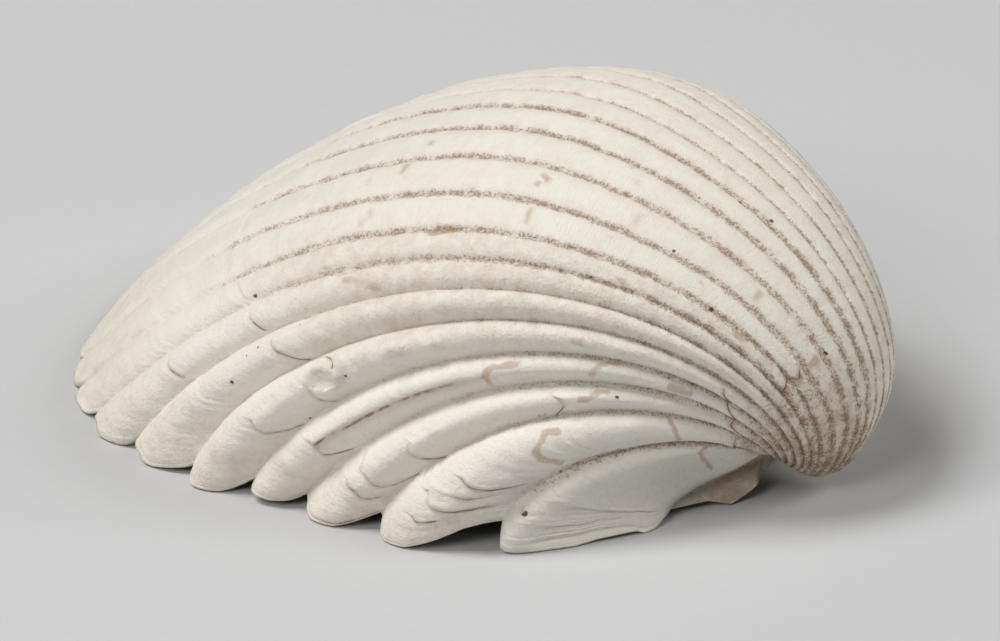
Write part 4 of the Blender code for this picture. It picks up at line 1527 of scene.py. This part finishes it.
@dataclass(frozen=True)
class ShellFinish:
    """Chalky ivory shell: colours in linear light, and where and how strongly each wear, each painted light
    and each painted shade shows.
    """

    ivory: Colour = (0.83, 0.79, 0.72)
    white: Colour = (0.89, 0.855, 0.79)
    dusk: Colour = (0.66, 0.575, 0.495)
    grime: Colour = (0.565, 0.43, 0.32)
    dirt: Colour = (0.45, 0.325, 0.215)
    tan: Colour = (0.50, 0.345, 0.22)
    grain_light: Colour = (0.37, 0.245, 0.145)
    grain_dark: Colour = (0.125, 0.078, 0.046)
    # Dark brown of the real cracks, also used as painted shade along the ledge steps and the crease.
    crack_and_step_shade: Colour = (0.13, 0.085, 0.055)
    lip: Colour = (0.78, 0.70, 0.57)
    nacre: Colour = (0.82, 0.80, 0.76)
    white_clouds: Ramp = Ramp(0.35, 0.65, 0.60)
    dusk_clouds: Ramp = Ramp(0.45, 0.75, 0.16)
    # Painted light: how strongly the posterior ribs are painted whiter, partly the shell's cream white and
    # partly light that the lamps leave short there.
    posterior_painted_light: Ramp = Ramp(-14.0, -24.0, 0.60)
    dusk_streaks: Ramp = Ramp(0.45, 0.75, 0.13)
    mottle: Ramp = Ramp(0.50, 0.80, 0.35)
    mottled_angles: Ramp = Ramp(-10.0, -26.0)
    grime_floor: float = 0.35
    grime_patches: Ramp = Ramp(0.30, 0.65, 0.45)
    grime_clouds: Ramp = Ramp(0.35, 0.65, 0.30)
    grime_cover: Ramp = Ramp(0.0, 1.0, 0.80)
    bar_floor: float = 0.55
    bar_patches: float = 0.9
    bar_cover: Ramp = Ramp(0.05, 0.62)
    tan_strength: float = 0.72
    dust_floor: float = 0.40
    dust_patches: Ramp = Ramp(0.25, 0.70, 0.80)
    dirt_cover: Ramp = Ramp(0.0, 1.0, 0.52)
    grain_size: Ramp = Ramp(0.56, 0.74)
    grain_crowding: float = 0.20
    grain_dusk: float = 0.08
    dark_grains: Ramp = Ramp(0.50, 0.70)
    grain_cover: Ramp = Ramp(0.05, 0.45, 0.70)
    line_wander: float = 0.07
    line_width: Ramp = Ramp(0.11, 0.03)
    line_gaps: Ramp = Ramp(0.34, 0.60)
    line_strength: float = 0.75
    # Painted shade: a soft tan halo beside the dark lines.
    line_shade_halo: Ramp = Ramp(0.50, 0.05, 0.32)
    lip_start: Ramp = Ramp(0.0, 0.25, 0.6)
    lip_end: Ramp = Ramp(0.95, 0.55)
    lining: Ramp = Ramp(0.6, 1.0)
    lining_clouds: float = 0.4
    boring_wander: float = 0.5
    boring_edge: Ramp = Ramp(1.05, 0.75, 0.92)
    chevron_noise: Noise = Noise(1.1, 3.0)
    chevron_drift: float = 0.55
    chevron_wear: float = 1.1
    chevron_edge: Ramp = Ramp(1.25, 0.45)
    chevron_far: float = 9.0
    coarse_lines: GrowthLines = GrowthLines(9.0, 9.0, 0.5)
    fine_lines: GrowthLines = GrowthLines(23.0, 20.0, 0.35)
    growth_height: float = 0.012
    lined_ages: Ramp = Ramp(120.0, 60.0)
    fine_height: float = 0.046
    finer_height: float = 0.014
    patchy_height: float = 0.12
    inner_relief: float = 0.15
    middle_height: float = 0.05
    posterior_height: Ramp = Ramp(-10.0, -30.0, 0.07)
    grain_height: float = 0.05
    line_depth: float = 0.06
    bump_strength: float = 0.8
    roughness: float = 0.56
    patchy_roughness: float = 0.16
    dusty_roughness: float = 0.2
    lining_gloss: Ramp = Ramp(0.6, 1.0, 0.22)
    ior: float = 1.5
    specular: float = 0.35

    def material(self, valve: Valve) -> bpy.types.Material:
        """Make the material from the valve's fields.

        Args:
            valve: the valve, for the places of its marks and borings.

        Returns:
            The finished material.
        """
        maker = NodeMaker("chalky_shell")
        skin = SkinReadings(maker)
        density = skin.dust * (skin.patchy.shown(self.dust_patches) + self.dust_floor)
        grains = (skin.fine + density * self.grain_crowding).shown(self.grain_size)
        # The dark line: the real cracks, and painted shade along the ledge steps, the lip and the crease.
        line = (skin.crack_and_step_shade - skin.uneven * self.line_wander).shown(self.line_width)
        line = line * skin.patchy.shown(self.line_gaps)
        colour = self.bare_colour(maker, skin)
        colour = self.marked(maker, skin, colour, self.chevrons(maker, valve, skin))
        colour = self.dusted(maker, skin, colour, density, grains)
        # Painted shade: a soft tan halo beside every dark line, standing for the shade beside the ledge steps
        # and the crease.
        colour = maker.mix(skin.crack_and_step_shade.shown(self.line_shade_halo) * skin.outside, colour, self.tan)
        # Painted shade along the ledge steps and the crease, in the same dark brown as the real cracks.
        colour = maker.mix(line * self.line_strength * skin.outside, colour, self.crack_and_step_shade)
        colour = self.bored(maker, skin, valve, self.lined(maker, skin, colour))
        rough = self.roughness + skin.uneven * self.patchy_roughness
        rough = rough + skin.dust * self.dusty_roughness * skin.outside
        maker.set(maker.shader.inputs["Base Color"], colour)
        maker.set(maker.shader.inputs["Roughness"], rough - skin.inside.shown(self.lining_gloss))
        maker.set(maker.shader.inputs["Normal"], self.relief(maker, skin, grains * density, line))
        maker.shader.inputs["Metallic"].default_value = 0.0
        maker.shader.inputs["IOR"].default_value = self.ior
        maker.shader.inputs["Specular IOR Level"].default_value = self.specular
        return maker.material

    def bare_colour(self, maker: NodeMaker, skin: SkinReadings) -> Sum:
        """Cloudy ivory and white with duskier streaks, the posterior ribs painted whiter as painted light,
        and a thin wash of grime.

        Args:
            maker: maker of the nodes.
            skin: what the finish reads.

        Returns:
            The colour without marks and dust.
        """
        colour = maker.mix(skin.soft.shown(self.white_clouds), self.ivory, self.white)
        colour = maker.mix(skin.patchy.shown(self.dusk_clouds), colour, self.dusk)
        # Painted light: whiter on the posterior ribs, where the lamps leave the ribs short of light.
        colour = maker.mix(skin.angle.shown(self.posterior_painted_light), colour, self.white)
        colour = maker.mix(skin.streak.shown(self.dusk_streaks), colour, self.dusk)
        mottle = skin.middle.shown(self.mottle) * skin.angle.shown(self.mottled_angles)
        colour = maker.mix(mottle, colour, self.dusk)
        uneven = self.grime_floor + skin.patchy.shown(self.grime_patches) + skin.soft.shown(self.grime_clouds)
        return maker.mix((skin.wash * uneven).shown(self.grime_cover) * skin.outside, colour, self.grime)

    def marked(self, maker: NodeMaker, skin: SkinReadings, colour: Sum, chevrons: Sum) -> Sum:
        """Lay the tan bars and the bent marks over a colour.

        Args:
            maker: maker of the nodes.
            skin: what the finish reads.
            colour: the colour below.
            chevrons: how strongly the bent marks show.

        Returns:
            The marked colour.
        """
        bars = (skin.stain * (self.bar_floor + skin.patchy * self.bar_patches)).shown(self.bar_cover)
        return maker.mix(bars.most(chevrons) * self.tan_strength * skin.outside, colour, self.tan)

    def dusted(self, maker: NodeMaker, skin: SkinReadings, colour: Sum, density: Sum, grains: Sum) -> Sum:
        """Lay the brown dust over a colour, first its tint and then its grains.

        Args:
            maker: maker of the nodes.
            skin: what the finish reads.
            colour: the colour below.
            density: how much dust there is.
            grains: where its grains are.

        Returns:
            The dusted colour.
        """
        colour = maker.mix(density.shown(self.dirt_cover) * skin.outside, colour, self.dirt)
        dark = (skin.finer + skin.dust * self.grain_dusk).shown(self.dark_grains)
        tone = maker.mix(dark, self.grain_light, self.grain_dark)
        return maker.mix(grains * density.shown(self.grain_cover) * skin.outside, colour, tone)

    def lined(self, maker: NodeMaker, skin: SkinReadings, colour: Sum) -> Sum:
        """Give the rim its yellower lip and the hollow its pale lining.

        Args:
            maker: maker of the nodes.
            skin: what the finish reads.
            colour: the colour of the outside.

        Returns:
            The colour of the whole skin.
        """
        edge = skin.inside.shown(self.lip_start) * skin.inside.shown(self.lip_end)
        colour = maker.mix(edge, colour, self.lip)
        cloudy = maker.mix(skin.soft * self.lining_clouds, self.nacre, self.ivory)
        return maker.mix(skin.inside.shown(self.lining), colour, cloudy)

    def bored(self, maker: NodeMaker, skin: SkinReadings, valve: Valve, colour: Sum) -> Sum:
        """Put the dark borings on a colour.

        Args:
            maker: maker of the nodes.
            skin: what the finish reads.
            valve: the valve, for their places.
            colour: the colour around them.

        Returns:
            The colour with its borings.
        """
        for pit in PITS:
            spot = valve.place_on_skin(pit.rib, pit.across, pit.age)
            gap = maker.vector("DISTANCE", {0: skin.place, 1: spot}, "Value")
            wander = (skin.fine - NOISE_MEAN) * self.boring_wander
            near = (gap / pit.radius + wander).shown(self.boring_edge)
            colour = maker.mix(near, colour, pit.tone.value)
        return colour

    def relief(self, maker: NodeMaker, skin: SkinReadings, grains: Sum, line: Sum) -> Sum:
        """Fine growth lines, chalky unevenness, raised grains, and sunk cracks and step lines, in
        millimetres.

        Args:
            maker: maker of the nodes.
            skin: what the finish reads.
            grains: where grains stand up.
            line: where the cracks and the dark lines of painted shade along the steps run.

        Returns:
            The bent normal.
        """
        growth = self.coarse_lines.wave(skin.age, skin.patchy) + self.fine_lines.wave(skin.age, skin.soft)
        height = growth * self.growth_height * skin.outside * skin.age.shown(self.lined_ages)
        chalk = skin.fine * self.fine_height + skin.finer * self.finer_height
        chalk = chalk + skin.patchy * self.patchy_height
        height = height + chalk * (skin.outside * (1.0 - self.inner_relief) + self.inner_relief)
        knobbly = self.middle_height + skin.angle.shown(self.posterior_height)
        height = height + skin.middle * knobbly * skin.outside
        height = height + grains * self.grain_height * skin.outside
        height = height - line * self.line_depth * skin.outside
        return maker.node("ShaderNodeBump", inputs={"Strength": self.bump_strength, "Distance": MM,
                                                    "Height": height}, output="Normal")

    def chevrons(self, maker: NodeMaker, valve: Valve, skin: SkinReadings) -> Sum:
        """Tan marks on the posterior ribs, as bent bands with uneven edges.

        Args:
            maker: maker of the nodes.
            valve: the valve, for the places of the marks.
            skin: what the finish reads.

        Returns:
            How strongly the marks show.
        """
        drift = maker.noise(skin.place, self.chevron_noise, "Color")
        drift = maker.vector("SUBTRACT", {0: drift, 1: (NOISE_MEAN,) * 3})
        place = maker.vector("MULTIPLY_ADD", {0: drift, 1: (self.chevron_drift,) * 3, 2: skin.place})
        strength: Sum | float = 0.0
        for mark in CHEVRONS:
            corners = [valve.place_on_skin(mark.rib, across, age) for across, age in mark.places]
            nearest: Sum | float = self.chevron_far
            for low, high in zip(corners[:-1], corners[1:]):
                run = high - low
                off = maker.vector("SUBTRACT", {0: place, 1: low})
                along = maker.vector("DOT_PRODUCT", {0: off, 1: run / run.length_squared}, "Value")
                foot = maker.vector("SCALE", {0: run, "Scale": along.most(0.0).least(1.0)})
                nearest = maker.vector("DISTANCE", {0: off, 1: foot}, "Value").least(nearest)
            band = (nearest / mark.half_width + skin.uneven * self.chevron_wear).shown(self.chevron_edge)
            strength = (band * mark.strength).most(strength)
        return strength


@dataclass(frozen=True)
class FloorFinish:
    """Plain pale matt paper."""

    colour: Colour = (0.60, 0.605, 0.618)
    shade: float = 0.97
    grain: Noise = Noise(900.0)
    roughness: float = 0.85

    def material(self) -> bpy.types.Material:
        """Make the floor's material.

        Returns:
            The finished material.
        """
        maker = NodeMaker("pale_floor")
        grain = maker.noise(maker.node("ShaderNodeTexCoord", output="Object"), self.grain)
        darker = tuple(value * self.shade for value in self.colour)
        maker.set(maker.shader.inputs["Base Color"], maker.mix(grain, self.colour, darker))
        maker.shader.inputs["Roughness"].default_value = self.roughness
        return maker.material


@dataclass(frozen=True)
class SoftLight:
    """A square soft light.

    Its side is its direction from the valve in degrees, 0 right, 90 behind and 180 left. Its rise
    over the floor is in degrees too, and its power in watts.
    """

    name: str
    side: float
    rise: float
    power: float


@dataclass(frozen=True)
class Studio:
    """Floor, lights and camera. Camera angles are in degrees and its places in millimetres."""

    azimuth: float = 36.636
    elevation: float = 23.04
    roll: float = -1.630
    distance: float = 842.873
    pixels_per_mm: float = 12.0183
    picture_width: float = 1000.0
    sensor_width: float = 36.0
    clip_range: tuple[float, float] = (0.01, 10.0)
    target: tuple[float, float, float] = (-25.634, -3.220, 9.260)
    origin: tuple[float, float, float] = (-30.586, 2.098, 0.0)
    floor_half_width: float = 1.6
    light_size: float = 0.5
    light_distance: float = 1.1
    light_colour: Colour = (1.0, 0.99, 0.97)
    soft_lights: tuple[SoftLight, ...] = (
        SoftLight("key", 170.0, 62.0, 8.6),
        SoftLight("right_fill", 0.0, 38.0, 4.7),
        SoftLight("front_fill", 236.0, 38.0, 3.8))
    room_light: float = 0.014
    room_colour: tuple[float, float, float, float] = (0.97, 0.98, 1.0, 1.0)

    def camera(self) -> None:
        """Place the camera where the photograph was taken from."""
        az, el, roll = (math.radians(value) for value in (self.azimuth, self.elevation, self.roll))
        back = Vector((math.sin(az) * math.cos(el), -math.cos(az) * math.cos(el), math.sin(el)))
        right = Vector((math.cos(az), math.sin(az), 0.0))
        up = back.cross(right)
        side = right * math.cos(roll) + up * math.sin(roll)
        top = up * math.cos(roll) - right * math.sin(roll)
        spot = (Vector(self.target) - Vector(self.origin) + back * self.distance) * MM
        data = bpy.data.cameras.new("camera")
        data.sensor_width = self.sensor_width
        data.lens = self.sensor_width * self.pixels_per_mm * self.distance / self.picture_width
        data.clip_start, data.clip_end = self.clip_range
        camera = bpy.data.objects.new("camera", data)
        bpy.context.scene.collection.objects.link(camera)
        camera.matrix_world = Matrix((
            (side.x, top.x, back.x, spot.x), (side.y, top.y, back.y, spot.y),
            (side.z, top.z, back.z, spot.z), (0.0, 0.0, 0.0, 1.0)))
        bpy.context.scene.camera = camera

    def floor(self) -> None:
        """Lay a wide floor under the valve."""
        mesh = bmesh.new()
        bmesh.ops.create_grid(mesh, x_segments=8, y_segments=8, size=self.floor_half_width)
        data = bpy.data.meshes.new("floor")
        mesh.to_mesh(data)
        mesh.free()
        floor = bpy.data.objects.new("floor", data)
        bpy.context.scene.collection.objects.link(floor)
        data.materials.append(FloorFinish().material())

    def hang(self, light: SoftLight) -> None:
        """Hang one soft light so that it faces the valve.

        Args:
            light: the light's direction and power.
        """
        az, turn, rise = (math.radians(value) for value in (self.azimuth, light.side, light.rise))
        right = Vector((math.cos(az), math.sin(az), 0.0))
        ahead = Vector((-math.sin(az), math.cos(az), 0.0))
        level = right * math.cos(turn) + ahead * math.sin(turn)
        spot = (level * math.cos(rise) + Vector((0.0, 0.0, math.sin(rise)))) * self.light_distance
        data = bpy.data.lights.new(light.name, "AREA")
        data.shape = "SQUARE"
        data.size = self.light_size
        data.energy = light.power
        data.color = self.light_colour
        lamp = bpy.data.objects.new(light.name, data)
        bpy.context.scene.collection.objects.link(lamp)
        lamp.matrix_world = Matrix.Translation(spot) @ (-spot).to_track_quat("-Z", "Y").to_matrix().to_4x4()

    def room(self) -> None:
        """Light the room evenly and weakly."""
        world = bpy.data.worlds.new("room")
        bpy.context.scene.world = world
        world.use_nodes = True
        background = world.node_tree.nodes["Background"]
        background.inputs["Color"].default_value = self.room_colour
        background.inputs["Strength"].default_value = self.room_light

    def build(self) -> None:
        """Set up the whole studio."""
        self.camera()
        self.floor()
        for light in self.soft_lights:
            self.hang(light)
        self.room()
        bpy.context.scene.view_settings.view_transform = "Standard"


def main() -> None:
    """Build the valve, dress it and set up the studio."""
    logging.basicConfig(level=logging.INFO, format="%(name)s: %(message)s")
    coil = Coil()
    ribs = Ribs(coil)
    margin = Margin(coil, ribs)
    valve = Valve(coil, ribs, margin)
    LOG.info("%d ribs laid out", ribs.count)
    skin = valve.build()
    skin.data.materials.append(ShellFinish().material(valve))
    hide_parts("valve")
    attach(skin, "root")
    LOG.info("valve_skin dressed and fixed to root")
    Studio().build()
    LOG.info("studio ready")


if __name__ == "__main__":
    main()
